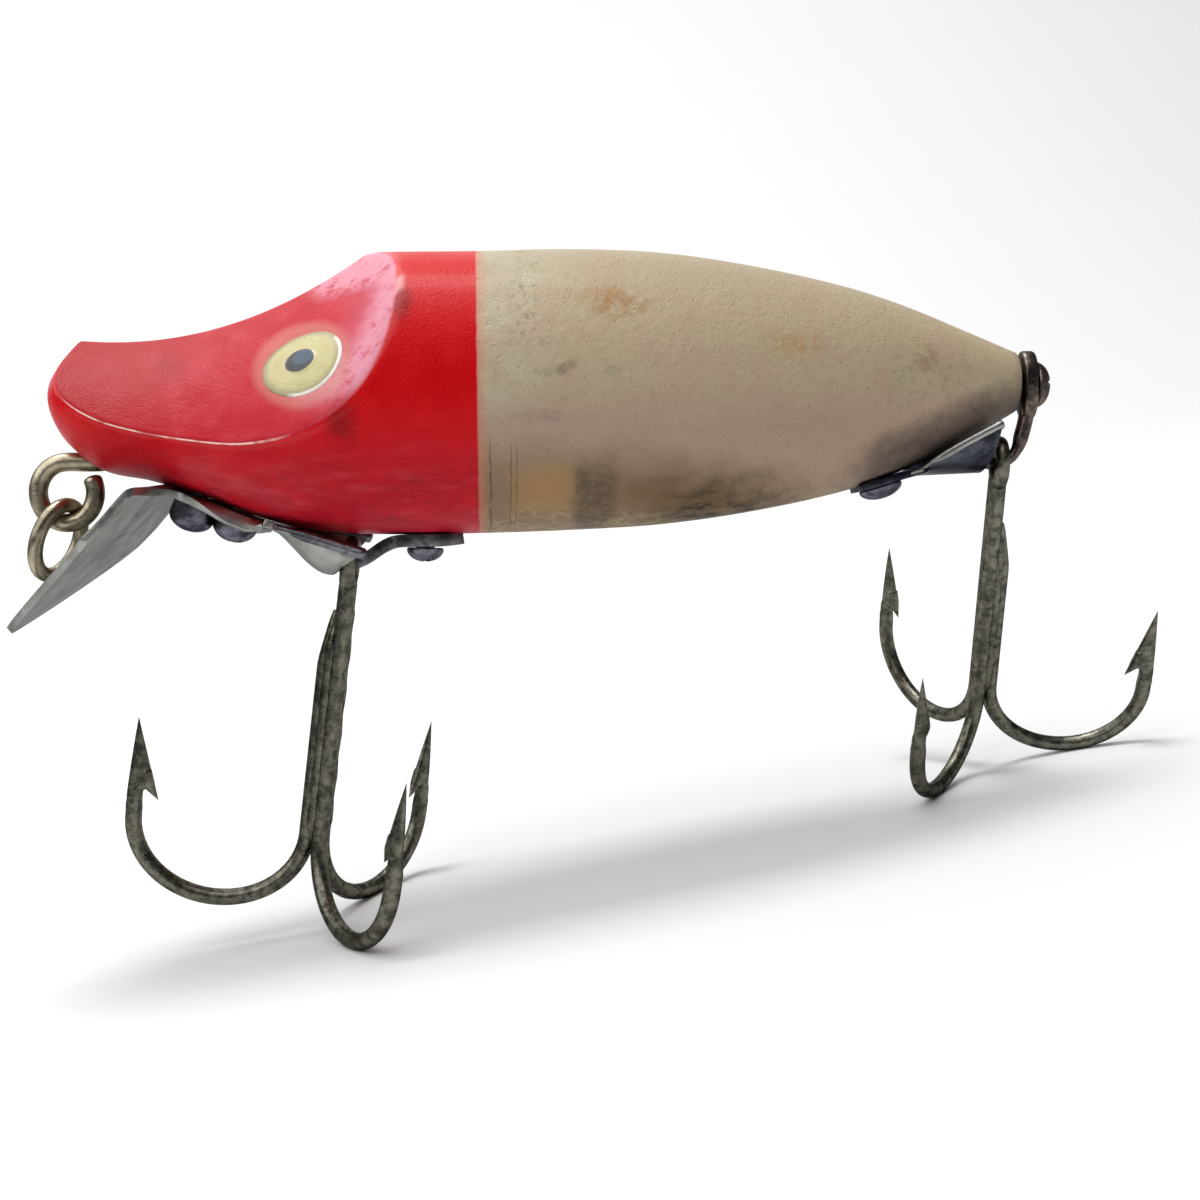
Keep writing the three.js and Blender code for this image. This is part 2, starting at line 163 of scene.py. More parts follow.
class NodeBench:
    """One material and the nodes on it."""

    def __init__(self, name: str) -> None:
        """Start a material that has its shader alone.

        Args:
            name: The material's name.
        """
        self.material = bpy.data.materials.new(name)
        self.material.use_nodes = True
        self.tree = self.material.node_tree
        self.tree.nodes.clear()
        self.shader = self.tree.nodes.new("ShaderNodeBsdfPrincipled")
        output = self.tree.nodes.new("ShaderNodeOutputMaterial")
        self.tree.links.new(self.shader.outputs[0], output.inputs[0])

    def node(self, kind: str, settings: dict, inputs: dict, output: int | str = 0) -> Signal:
        """Add one node.

        Args:
            kind: The node's type.
            settings: Its properties, set before its inputs.
            inputs: Socket name or index to a value or a Signal.
            output: Which output to return.

        Returns:
            The chosen output.
        """
        made = self.tree.nodes.new(kind)
        for name, value in settings.items():
            setattr(made, name, value)
        for key, value in inputs.items():
            if isinstance(value, Signal):
                self.tree.links.new(value.socket, made.inputs[key])
            else:
                made.inputs[key].default_value = value
        return Signal(self, made.outputs[output])

    def set(self, **values: float | Sequence[float]) -> None:
        """Set the shader's own constant sockets; an underscore stands for a space."""
        for name, value in values.items():
            self.shader.inputs[name.replace("_", " ")].default_value = value

    def feed(self, name: str, signal: Signal) -> None:
        """Link a varying value to one of the shader's sockets."""
        self.tree.links.new(signal.socket, self.shader.inputs[name])

    def plug_point(self) -> Signal:
        """Object coordinates turned into plug millimetres.

        Returns:
            The point, as a vector.
        """
        place = self.node("ShaderNodeTexCoord", {}, {}, "Object")
        stance = {"Location": STANCE.origin(), "Rotation": STANCE.turn(), "Scale": (MM, MM, MM)}
        return self.node("ShaderNodeMapping", {"vector_type": "TEXTURE"}, {"Vector": place, **stance})

    def split(self, vector: Signal) -> tuple[Signal, Signal, Signal]:
        """The three parts of a vector."""
        made = self.node("ShaderNodeSeparateXYZ", {}, {0: vector}).socket.node
        return tuple(Signal(self, made.outputs[i]) for i in range(3))

    def vector(self, operation: str, *values: Signal | Sequence[float]) -> Signal:
        """One Vector Math node; a length or a dot product gives a number."""
        output = "Value" if operation in ("LENGTH", "DOT_PRODUCT") else "Vector"
        return self.node("ShaderNodeVectorMath", {"operation": operation}, dict(enumerate(values)), output)

    def stretch(self, vector: Signal, scale: Triple) -> Signal:
        """A vector with each axis multiplied."""
        return self.vector("MULTIPLY", vector, scale)

    def shift(self, vector: Signal, centre: Triple) -> Signal:
        """A vector counted from a centre."""
        return self.vector("ADD", vector, tuple(-part for part in centre))

    def reach(self, vector: Signal, centre: Triple, stretch: Triple) -> Signal:
        """Distance from a centre, in millimetres times the stretch."""
        return self.vector("LENGTH", self.stretch(self.shift(vector, centre), stretch))

    def noise(self, vector: Signal, scale: float, detail: float = 3.0, rough: float = 0.55) -> Signal:
        """Noise from 0 to 1 with about scale features in a millimetre."""
        inputs = {"Vector": vector, "Scale": scale, "Detail": detail, "Roughness": rough}
        return self.node("ShaderNodeTexNoise", {}, inputs)

    def noise_vector(self, vector: Signal, scale: float, amount: float) -> Signal:
        """A vector pushed about by noise.

        Args:
            vector: The vector.
            scale: Features of the noise in a millimetre.
            amount: How far it pushes, in millimetres.

        Returns:
            The pushed vector.
        """
        cloud = self.node("ShaderNodeTexNoise", {}, {"Vector": vector, "Scale": scale, "Detail": 2.0}, 1)
        push = self.stretch(self.shift(cloud, (0.5, 0.5, 0.5)), (amount, amount, amount))
        return self.vector("ADD", vector, push)

    def cells(self, vector: Signal, scale: float, feature: str = "F1") -> Signal:
        """Distance to the nearest random point, or to the nearest edge between their cells."""
        return self.node("ShaderNodeTexVoronoi", {"feature": feature}, {"Vector": vector, "Scale": scale})

    def mix(self, factor: Signal | float, low: Signal | Colour, high: Signal | Colour) -> Signal:
        """The high colour laid over the low one by the factor."""
        settings = {"data_type": "RGBA", "blend_type": "MIX", "clamp_factor": True}
        return self.node("ShaderNodeMix", settings, {0: factor, 6: low, 7: high}, 2)

    def bump(self, height: Signal, depth: float, strength: float) -> None:
        """Raise the surface by the height, in metres at full height."""
        inputs = {"Height": height, "Distance": depth, "Strength": strength}
        self.feed("Normal", self.node("ShaderNodeBump", {}, inputs))


def srgb(red: int, green: int, blue: int) -> Colour:
    """A display colour from 0 to 255 as a linear colour.

    Args:
        red: Red of the display colour.
        green: Green of it.
        blue: Blue of it.

    Returns:
        The linear colour, opaque.
    """
    shares = (value / 255 for value in (red, green, blue))
    return (*(s / 12.92 if s <= 0.04045 else ((s + 0.055) / 1.055) ** 2.4 for s in shares), 1.0)


# Mesh helpers


def smooth_column(rows: Sequence[Sequence[float]], column: int, places: Array) -> Array:
    """Smooth curve through rows of place and values.

    Args:
        rows: Rows that start with their place, in rising order.
        column: Which value to follow.
        places: Where to read the curve.

    Returns:
        The curve's values.
    """
    table = np.array(rows)
    x = table[:, 0]
    y = table[:, column]
    slopes = np.empty(len(x))
    slopes[1:-1] = (y[2:] - y[:-2]) / (x[2:] - x[:-2])
    slopes[0] = (y[1] - y[0]) / (x[1] - x[0])
    slopes[-1] = (y[-1] - y[-2]) / (x[-1] - x[-2])
    i = np.clip(np.searchsorted(x, places) - 1, 0, len(x) - 2)
    width = x[i + 1] - x[i]
    t = np.clip((places - x[i]) / width, 0.0, 1.0)
    rise = y[i + 1] - y[i]
    bend_a = slopes[i] * width - rise
    bend_b = rise - slopes[i + 1] * width
    return y[i] + t * rise + t * (1 - t) * (bend_a * (1 - t) + bend_b * t)


def smooth_step(value: Array, low: float, high: float) -> Array:
    """Smooth step from 0 at low to 1 at high."""
    t = np.clip((value - low) / (high - low), 0.0, 1.0)
    return t * t * (3 - 2 * t)


def unit(rows: Array) -> Array:
    """Rows of vectors, each one long."""
    return rows / np.linalg.norm(rows, axis=-1, keepdims=True)


def lengths_along(line: Array) -> Array:
    """Distance of each point of a line from its start, along the line."""
    return np.concatenate([[0.0], np.cumsum(np.linalg.norm(np.diff(line, axis=0), axis=1))])


def smooth_path(points: Sequence[Sequence[float]], steps: int) -> Array:
    """A centripetal curve through points.

    Args:
        points: The points, in order.
        steps: How many stretches the result has.

    Returns:
        Points at even distances along the curve.
    """
    fine = 24
    knots = np.array(points, float)
    ends = np.vstack([2 * knots[0] - knots[1], knots, 2 * knots[-1] - knots[-2]])
    dense = []
    for a, b, c, d in zip(ends, ends[1:], ends[2:], ends[3:]):
        gaps = [np.linalg.norm(q - p) ** 0.5 for p, q in ((a, b), (b, c), (c, d))]
        times = np.cumsum([0.0, *gaps])
        for t in np.linspace(times[1], times[2], fine, endpoint=False):
            row = [a, b, c, d]
            for level in (1, 2, 3):
                spans = [(times[i], times[i + level], row[i], row[i + 1]) for i in range(len(row) - 1)]
                row = [(first * (end - t) + second * (t - start)) / (end - start)
                       for start, end, first, second in spans]
            dense.append(row[0])
    line = np.array([*dense, knots[-1]])
    lengths = lengths_along(line)
    at = np.linspace(0.0, lengths[-1], steps + 1)
    return np.stack([np.interp(at, lengths, line[:, k]) for k in range(3)], axis=1)


def skin(rings: int, sides: int, place: Callable[[Array, Array], Array], wrap: bool = True,
         loop: bool = False) -> Mesh:
    """A grid laid over a surface.

    Args:
        rings: Steps along the surface.
        sides: Steps across or around it.
        place: From u and v, each 0 to 1, to points of shape (n, 3).
        wrap: Whether v runs round and meets itself.
        loop: Whether u runs round and meets itself.

    Returns:
        The mesh, closed where it wraps or where a ring shrinks to a point.
    """
    made = bmesh.new()
    bmesh.ops.create_grid(made, x_segments=rings, y_segments=sides, size=0.5)
    flat = np.array([vertex.co for vertex in made.verts])
    for vertex, point in zip(made.verts, place(flat[:, 0] + 0.5, flat[:, 1] + 0.5)):
        vertex.co = point
    if wrap or loop:
        bmesh.ops.remove_doubles(made, verts=made.verts, dist=1e-4)
        bmesh.ops.dissolve_degenerate(made, edges=made.edges, dist=1e-5)
        bmesh.ops.recalc_face_normals(made, faces=made.faces)
    return made


def swept(path: Array, radii: Array, sides: int = 16, flat: float = 1.0, loop: bool = False,
          across: Triple = (0.0, 1.0, 0.0)) -> Mesh:
    """Round wire along a path, with rounded tips where its ends are open.

    Args:
        path: Points of the centre line.
        radii: The wire's radius at each point.
        sides: Sides of the section.
        flat: Width across the path's plane as a share of the radius.
        loop: Whether the path closes on itself.
        across: A direction that is never along the path.

    Returns:
        The wire's mesh.
    """
    line = np.array(path, float)
    size = np.array(radii, float)
    if loop:
        along = np.roll(line, -1, axis=0) - np.roll(line, 1, axis=0)
        line, size, along = (np.concatenate([item, item[:1]]) for item in (line, size, along))
    else:
        bulge = ((0.55, 0.84), (0.9, 0.45), (1.0, 0.0))
        start = unit(line[0] - line[1]) * size[0] / 2
        end = unit(line[-1] - line[-2]) * size[-1] / 2
        head = [(line[0] + start * out, size[0] * share) for out, share in reversed(bulge)]
        tail = [(line[-1] + end * out, size[-1] * share) for out, share in bulge]
        line = np.vstack([[point for point, _ in head], line, [point for point, _ in tail]])
        size = np.concatenate([[part for _, part in head], size, [part for _, part in tail]])
        along = np.gradient(line, axis=0)
    along = unit(along)
    side = unit(np.cross(along, np.array(across)))
    lift = np.cross(side, along)
    last = len(line) - 1

    def place(u: Array, v: Array) -> Array:
        """Points round each station."""
        i = np.rint(u * last).astype(int)
        turn = v * 2 * np.pi
        out = side[i] * (np.cos(turn) * size[i])[:, None]
        return line[i] + out + lift[i] * (np.sin(turn) * size[i] * flat)[:, None]

    return skin(last, sides, place, loop=loop)


def turned(outline: Sequence[Pair], foot: Vector, out: Vector, steps: int) -> Mesh:
    """Spin an outline of radius and height round an axis.

    Args:
        outline: Points from the axis at the foot to the axis at the top.
        foot: Where the axis starts.
        out: The axis.
        steps: Steps round the axis.

    Returns:
        The closed, turned mesh.
    """
    made = bmesh.new()
    points = [made.verts.new((radius, 0.0, height)) for radius, height in outline]
    edges = [made.edges.new(pair) for pair in zip(points, points[1:])]
    bmesh.ops.spin(made, geom=[*points, *edges], cent=(0, 0, 0), axis=(0, 0, 1), angle=2 * math.pi,
                   steps=steps, use_merge=True)
    bmesh.ops.remove_doubles(made, verts=made.verts, dist=1e-5)
    bmesh.ops.recalc_face_normals(made, faces=made.faces)
    turn = Vector((0.0, 0.0, 1.0)).rotation_difference(out.normalized())
    made.transform(Matrix.LocRotScale(foot, turn, None))
    return made


def joined(parts: Iterable[Mesh]) -> Mesh:
    """Several meshes as one, each kept as it is.

    Args:
        parts: The meshes, which are used up.

    Returns:
        The one mesh.
    """
    whole = bmesh.new()
    for part in parts:
        carrier = bpy.data.meshes.new("carrier")
        part.to_mesh(carrier)
        part.free()
        whole.from_mesh(carrier)
        bpy.data.meshes.remove(carrier)
    return whole


def stand(name: str, shape: Mesh, material: Material) -> bpy.types.Object:
    """Put a finished mesh in the scene, at the origin.

    Args:
        name: The object's name.
        shape: Its mesh, which is used up.
        material: Its finish.

    Returns:
        The new object.
    """
    mesh = bpy.data.meshes.new(name)
    shape.to_mesh(mesh)
    shape.free()
    mesh.materials.append(material)
    item = bpy.data.objects.new(name, mesh)
    bpy.context.scene.collection.objects.link(item)
    return item


def finish_piece(name: str, shape: Mesh, material: Material, stands_for: str = "",
                 body: str = LURE, place: Matrix | None = None, sharp: float = 50.0) -> bpy.types.Object:
    """Turn a bmesh in plug millimetres into a piece that rides on a body.

    Args:
        name: The piece's name.
        shape: Its mesh.
        material: Its finish.
        stands_for: The CAD node that it replaces, if there is one.
        body: The CAD body it rides on.
        place: The move into the row's frame, or none for the stance.
        sharp: Edges that turn by more degrees than this stay sharp.

    Returns:
        The piece's object, at the origin.
    """
    shape.transform(place or STANCE.matrix())
    for face in shape.faces:
        face.smooth = True
    for edge in shape.edges:
        edge.smooth = edge.calc_face_angle(0.0) < math.radians(sharp)
    item = stand(name, shape, material)
    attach(item, body)
    if stands_for:
        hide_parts(stands_for)
    LOG.info("%s: %d faces on %s", name, len(item.data.polygons), body)
    return item


def plate(item: bpy.types.Object, thickness: float = SHEET, edge: float = 0.12) -> None:
    """Give a middle surface its wall and eased edges.

    Args:
        item: The piece.
        thickness: The wall, in millimetres.
        edge: Width of the eased edges, in millimetres.
    """
    wall = item.modifiers.new("wall", "SOLIDIFY")
    wall.thickness = thickness * MM
    wall.offset = 0.0
    wall.use_even_offset = True
    ease = item.modifiers.new("ease", "BEVEL")
    ease.width = edge * MM
    ease.segments = 2
    ease.limit_method = "ANGLE"
    ease.angle_limit = math.radians(50)


# Finishes


class Slot(Enum):
    """The record's material slots."""

    PAINT = "plug_paint"
    BRIGHT = "bright_metal"
    DARK = "dark_metal"
    TIE = "tie_wire"
    HOOK = "hook_wire"


@dataclass(frozen=True)
class Stain:
    """A soft-edged mark on the paint."""

    centre: Triple
    radius: float
    strength: float
    colour: Colour
    stretch: Triple = (0.7, 0.6, 1.0)
    hardness: float = 0.1


class Coats:
    """Colours laid one over another."""

    def __init__(self, bench: NodeBench, ground: Signal | Colour) -> None:
        """Start from the ground colour."""
        self.bench = bench
        self.colour = ground

    def lay(self, mask: Signal | float, colour: Signal | Colour) -> None:
        """Lay one more colour where the mask is above 0."""
        self.colour = self.bench.mix(mask, self.colour, colour)

    def stain(self, point: Signal, stains: Sequence[Stain], ragged: Signal | float = 1.0) -> None:
        """Lay soft-edged marks.

        Args:
            point: The place on the surface, in plug millimetres.
            stains: The marks.
            ragged: A mask that breaks them up.
        """
        for mark in stains:
            near = self.bench.reach(point, mark.centre, mark.stretch)
            spot = near.between(mark.radius, mark.radius * mark.hardness)
            self.lay(spot * ragged * mark.strength, mark.colour)


class PaintBench(NodeBench):
    """The nodes of the plug's paint, with the places that its coats are laid by."""

    def __init__(self, name: str) -> None:
        """Start the material and find the places.

        Args:
            name: The material's name.
        """
        super().__init__(name)
        self.point = self.plug_point()
        self.wavy = self.noise_vector(self.point, 0.35, 1.4)
        self.along, _, self.high = self.split(self.wavy)


@dataclass(frozen=True)
class PlugPaint:
    """Red head and aged white body under old clear gloss."""

    name: str = "plug_paint"
    red: Colour = srgb(198, 0, 12)
    clouded_red: Colour = srgb(222, 24, 32)
    crimson: Colour = srgb(166, 18, 38)
    pale_streak: Colour = srgb(198, 62, 74)
    dark_streak: Colour = srgb(104, 10, 26)
    chip: Colour = srgb(70, 10, 14)
    # Painted highlight: the pale line along the scoops' lower rims.
    rim_highlight_colour: Colour = srgb(252, 214, 204)
    worn_nose: Colour = srgb(186, 146, 164)
    scoop: Colour = srgb(180, 20, 34)
    scoop_cloud: Colour = srgb(200, 60, 78)
    scoop_grain: Colour = srgb(178, 22, 38)
    scoop_nose: Colour = srgb(168, 10, 22)
    # Painted sheen, partly worn paint: pale pink along the scoops' right and upper rims.
    sheen_and_worn_pink: Colour = srgb(216, 148, 166)
    line_blush: Colour = srgb(206, 116, 92)
    cream: Colour = srgb(190, 181, 154)
    tan: Colour = srgb(181, 165, 136)
    rosy: Colour = srgb(183, 155, 133)
    mauve: Colour = srgb(168, 143, 125)
    dry_grain: Colour = srgb(140, 122, 98)
    shaded_back: Colour = srgb(158, 146, 120)
    # Painted shade: a greyer tan that darkens the top of the back.
    olive: Colour = srgb(102, 80, 46)
    slate: Colour = srgb(76, 67, 62)
    slate_blotch: Colour = srgb(66, 56, 60)
    grime: Colour = srgb(52, 46, 38)
    amber: Colour = srgb(176, 134, 78)
    stroke: Colour = srgb(22, 20, 18)
    net: Colour = srgb(172, 162, 124)
    crack: Colour = srgb(92, 66, 44)
    pore: Colour = srgb(104, 86, 62)
    dirt: Colour = srgb(104, 98, 74)
    red_scratch: Colour = srgb(150, 64, 70)
    cracks: tuple[Pair, ...] = ((0.9, 0.1), (2.15, 0.05), (2.5, 0.05))
    arc_centre: Triple = (-12.5, 0.0, 5.8)
    head_smudges: tuple[Stain, ...] = (
        Stain((-4.6, -7.4, 5.0), 1.3, 0.55, srgb(84, 12, 16), (1.0, 0.5, 0.62), 0.2),
        Stain((-8.3, -7.6, -2.6), 1.6, 0.55, srgb(84, 12, 16), (1.0, 0.5, 0.62), 0.2),
        Stain((-9.0, 7.4, -2.0), 1.5, 0.55, srgb(84, 12, 16), (1.0, 0.5, 0.62), 0.2),
    )
    scoop_smudge_and_dent_shade: tuple[Stain, ...] = (
        Stain((-11.6, -5.0, 4.5), 0.9, 0.8, srgb(206, 24, 40), (0.36, 0.5, 1.9), 0.333),
        # Painted shade of a shallow dent near the front of the near scoop.
        Stain((-19.2, -2.8, 1.3), 1.3, 0.5, srgb(150, 14, 32), (0.8, 0.8, 0.8), 0.231),
    )
    # Painted sheen: a pale pink halo round the near eye.
    eye_sheen_halo: Stain = Stain((-10.68, -5.59, 1.19), 3.7, 0.5, srgb(202, 134, 122), (1.0, 0.5, 1.1), 0.757)
    body_stains: tuple[Stain, ...] = (
        Stain((8.7, -7.1, 4.7), 1.7, 0.75, srgb(152, 110, 60), (0.62, 0.6, 1.1)),
        Stain((7.6, -7.1, 5.2), 1.3, 0.5, srgb(168, 132, 88), (0.5, 0.6, 1.2)),
        Stain((19.8, -6.8, 2.2), 1.6, 0.5, srgb(172, 128, 78), (0.55, 0.6, 1.1)),
        Stain((28.6, -4.6, 1.5), 1.4, 0.5, srgb(140, 110, 76), (0.6, 0.6, 1.0)),
        Stain((5.4, -8.6, 0.5), 0.75, 0.6, srgb(112, 102, 86), (0.8, 0.5, 1.3), 0.3),
        Stain((4.1, -8.6, 0.4), 0.5, 0.45, srgb(118, 108, 92), (0.7, 0.5, 1.2), 0.3),
        Stain((8.2, -8.5, 0.5), 0.7, 0.4, srgb(124, 114, 96), (0.8, 0.5, 1.3), 0.3),
        Stain((4.4, -8.4, -2.3), 2.6, 0.4, srgb(132, 112, 118), (0.7, 0.4, 4.5), 0.2),
        Stain((14.5, 7.2, 4.2), 2.0, 0.6, srgb(170, 122, 64), (0.7, 0.6, 1.1)),
        Stain((4.5, 8.0, -3.0), 1.6, 0.4, srgb(120, 108, 92), (0.6, 0.5, 1.4)),
        Stain((24.5, 4.9, 3.4), 1.5, 0.5, srgb(142, 112, 74), (0.6, 0.6, 1.1)),
    )

    def make(self) -> Material:
        """Build the material.

        Returns:
            The finished material.
        """
        bench = PaintBench(self.name)
        point = bench.point
        along, _, high = bench.split(point)
        hollow, rim, rim_highlight_line = self._scoop_masks(bench)
        edge = (along + (bench.noise(point, 1.3, 2.0) - 0.5) * 0.14).between(-0.08, 0.1)
        white = bench.mix(along.between(0.75, 0.0) * 0.5, self._white(bench), self.line_blush)
        bench.feed("Base Color", bench.mix(edge, self._head(bench, hollow, rim_highlight_line), white))
        lumps = bench.noise(point, 1.7, 3.0, 0.6)
        pits = bench.cells(bench.noise_vector(point, 2.0, 0.5), 1.5).between(0.0, 0.2)
        fine = bench.noise(point, 6.0, 2.0, 0.6)
        height = lumps * edge * 0.5 + pits * edge * 0.4 + fine * 0.3 + bench.noise(point, 0.45, 2.0) * 0.4
        bench.bump(height, 0.00018, 0.75)
        low = high.between(-1.5, -7.0)
        rough = edge * 0.1 + bench.noise(point, 0.9) * 0.16 + low * 0.1 + 0.3
        bench.feed("Roughness", rough - hollow * 0.02)
        bench.feed("Coat Weight", high.between(1.0, 6.0) * 0.04 + rim * 0.35)
        bench.set(IOR=1.22, Coat_Roughness=0.12)
        return bench.material

    def _scoop_masks(self, bench: PaintBench) -> tuple[Signal, Signal, Signal]:
        """Where the two scoops of the face are.

        Args:
            bench: The paint's nodes.

        Returns:
            1 on the scooped faces, 1 on their rounded rims, and 1 on the thin line along the rims where a
            highlight is painted.
        """
        x, y, z = bench.split(bench.point)
        mirrored = bench.node("ShaderNodeCombineXYZ", {}, {0: x, 1: y.size() * -1.0, 2: z})
        offset = bench.shift(mirrored, Plug.scoop_centre)
        along = bench.vector("DOT_PRODUCT", offset, Vector(Plug.scoop_axis).normalized())
        length = bench.vector("LENGTH", offset)
        squared = along * along
        radial = (length * length - squared) ** 0.5
        depth = radial - squared * (Plug.scoop_flare / 2) - Plug.scoop_waist
        front = x.between(-1.5, -3.0)
        rim = depth.between(0.02, 0.08) * depth.between(0.5, 0.2) * front
        # The thin line along the rims, where a pale highlight is painted.
        line = depth.between(0.04, 0.07) * depth.between(0.13, 0.09) * x.between(-11.0, -13.5)
        return depth.between(0.16, 0.03) * front, rim, line

    def _head(self, bench: PaintBench, hollow: Signal, rim_highlight_line: Signal) -> Signal:
        """Red of the head, crimson and scuffed low down, with a painted highlight along the scoops' lower
        rims.

        Args:
            bench: The paint's nodes.
            hollow: 1 on the scooped faces.
            rim_highlight_line: 1 on the thin line along their rims.

        Returns:
            The colour.
        """
        point, wavy, along, high = bench.point, bench.wavy, bench.along, bench.high
        low = high.between(-2.4, -7.0)
        cloud = bench.noise(wavy, 0.5, 4.0, 0.6)
        pale_streaks = bench.noise(bench.stretch(point, (0.35, 1.0, 1.5)), 0.9, 3.0, 0.5).between(0.44, 0.7)
        dark_streaks = bench.noise(bench.stretch(point, (0.35, 1.0, 2.2)), 1.3).between(0.58, 0.76)
        rim_highlight = rim_highlight_line * (bench.noise(point, 0.8).between(0.36, 0.5) * 0.7 + 0.3)
        nose = (along + cloud * 1.2 - high * 0.15).between(-25.4, -26.6) * high.between(-0.6, 0.8)
        chips = bench.cells(point, 0.9).between(0.07, 0.03) * bench.noise(point, 0.4).between(0.5, 0.62)
        coats = Coats(bench, self.red)
        coats.lay(low * 0.85, self.crimson)
        coats.lay(cloud.between(0.42, 0.75) * 0.35, self.clouded_red)
        coats.lay(pale_streaks * low * 0.45, self.pale_streak)
        coats.lay(dark_streaks * low * 0.5, self.dark_streak)
        coats.stain(wavy, self.head_smudges, cloud.between(0.3, 0.6))
        coats.lay(hollow, self._scoops(bench, cloud))
        # Painted highlight: a pale line, broken up by noise, along the lower rims of the scoops.
        coats.lay(rim_highlight * along.between(-26.0, -24.0) * high.between(1.5, -0.5), self.rim_highlight_colour)
        coats.lay(nose * 0.6, self.worn_nose)
        coats.lay(chips * 0.7, self.chip)
        return coats.colour

    def _scoops(self, bench: PaintBench, cloud: Signal) -> Signal:
        """Paint of the scooped faces, with a painted pink sheen, partly worn paint, round their right and
        upper edge.

        Args:
            bench: The paint's nodes.
            cloud: The head's cloudy noise.

        Returns:
            The colour.
        """
        point, wavy, along, high = bench.point, bench.wavy, bench.along, bench.high
        grain = bench.noise(bench.stretch(wavy, (0.8, 1.0, 0.9)), 1.1, 5.0, 0.7)
        nose = (along - high * 0.5 + cloud * 3.0).between(-14.0, -22.0)
        arc = bench.reach(bench.noise_vector(point, 0.9, 0.9), self.arc_centre, (1.0, 0.0, 1.0))
        crest = high.between(5.2, 7.0) * along.between(-11.0, -9.5)
        right = along.between(-12.5, -10.0)
        sheen = (arc.between(5.6, 6.9) | crest) * grain.between(0.66, 0.5) * high.between(-2.0, 0.0) * right
        coats = Coats(bench, self.scoop)
        coats.lay(cloud.between(0.38, 0.72) * 0.5, self.scoop_cloud)
        coats.lay(grain.between(0.5, 0.7) * 0.4, self.scoop_grain)
        coats.lay(nose * 0.75, self.scoop_nose)
        # Painted sheen, partly worn paint: a mottled pale pink band and a broader faint one.
        coats.lay(sheen * 0.8, self.sheen_and_worn_pink)
        coats.lay(arc.between(3.6, 7.2) * high.between(-3.0, 0.5) * right * 0.35, self.sheen_and_worn_pink)
        # A red smear above the eye, and the painted shade of a dent near the nose.
        coats.stain(wavy, self.scoop_smudge_and_dent_shade)
        # Painted sheen round the near eye.
        coats.stain(point, (self.eye_sheen_halo,))
        return coats.colour

    def _white(self, bench: PaintBench) -> Signal:
        """Aged white: cream near the head, tan and mauve along the side, olive below, with painted shade on
        the back.

        Args:
            bench: The paint's nodes.

        Returns:
            The colour.
        """
        point, wavy, along, high = bench.point, bench.wavy, bench.along, bench.high
        cloud = bench.noise(wavy, 0.22, 4.0, 0.6)
        grain = bench.noise(bench.stretch(point, (0.55, 1.0, 1.5)), 3.0, 5.0, 0.7)
        drop = high + along * along * 0.0055
        belly = drop.between(-2.6, -6.6)
        coats = Coats(bench, self.cream)
        coats.lay((along + cloud * 5.0 - high * 0.25).between(2.0, 8.0), self.tan)
        coats.lay(cloud.between(0.46, 0.62) * 0.45, self.rosy)
        coats.lay(high.between(0.4, -3.2) * 0.85, self.mauve)
        coats.lay(grain.between(0.42, 0.75) * 0.25, self.dry_grain)
        # Painted shade: the back darkened towards the top, against the light from above.
        coats.lay(high.between(3.5, 8.0) * 0.4, self.shaded_back)
        coats.lay(belly * (along.between(6.0, 14.0) * 0.35 + 0.58), self.olive)
        coats.stain(wavy, self.body_stains, bench.noise(wavy, 1.4, 5.0, 0.7).between(0.36, 0.6))
        self._lay_grime(coats, drop, belly)
        self._lay_cracks(coats)
        self._lay_specks(coats)
        return coats.colour

    def _lay_grime(self, coats: Coats, drop: Signal, belly: Signal) -> None:
        """Amber square, dark column, blotches, strokes and pale net of the belly, and the dark tail.

        Args:
            coats: The white's coats.
            drop: Height above the belly's line, which climbs to the tail.
            belly: 1 on the belly.
        """
        bench = coats.bench
        point, wavy, along, high = bench.point, bench.wavy, bench.along, bench.high
        amber = along.between(1.0, 3.4) * along.between(6.6, 4.8)
        coats.lay(amber * high.between(-4.6, -6.2) * high.between(-8.6, -7.6) * 0.5, self.amber)
        wander = bench.noise(bench.stretch(point, (2.2, 1.0, 0.5)), 1.1, 4.0, 0.7) - 0.5
        ragged = bench.split(point)[0] + wander * 0.9
        column = ragged.between(5.6, 6.4) * ragged.between(9.1, 8.0) * high.between(-3.4, -6.4)
        coats.lay(column * (bench.noise(point, 2.2, 4.0, 0.7).between(0.3, 0.64) * 0.35 + 0.25), self.grime)
        blotch = bench.noise(point, 0.8, 6.0, 0.72).between(0.4, 0.64)
        coats.lay(blotch * belly * along.between(8.0, 17.0) * 0.7, self.grime)
        tail = (high - along * 0.42).between(-13.4, -15.6) * along.between(22.0, 27.0)
        coats.lay(tail * 0.8, self.slate)
        coats.lay(blotch * tail * 0.5, self.slate_blotch)
        strokes = bench.noise(bench.stretch(wavy, (0.6, 1.0, 1.8)), 0.9).between(0.46, 0.56)
        strokes = strokes * drop.between(-5.6, -6.5) * along.between(10.0, 15.0) * along.between(27.0, 24.0)
        coats.lay(strokes * 0.8, self.stroke)
        net = bench.stretch(bench.noise_vector(point, 0.9, 0.4), (0.8, 1.0, 1.0))
        web = bench.cells(net, 1.15, "DISTANCE_TO_EDGE").between(0.2, 0.03) * drop.between(-7.3, -8.1)
        coats.lay(web * bench.noise(point, 0.5).between(0.4, 0.6) * 0.4, self.net)

    def _lay_cracks(self, coats: Coats) -> None:
        """Three thin upright cracks near the paint line.

        Args:
            coats: The white's coats.
        """
        bench = coats.bench
        along, _, high = bench.split(bench.point)
        wander = along + bench.noise(bench.wavy, 0.9, 2.0) * 0.3
        broken = bench.noise(bench.wavy, 1.2).between(0.36, 0.5) * high.between(-3.0, -5.0)
        for place, width in self.cracks:
            line = (wander - place).size().between(width, width * 0.3)
            coats.lay(line * broken * 0.75, self.crack)

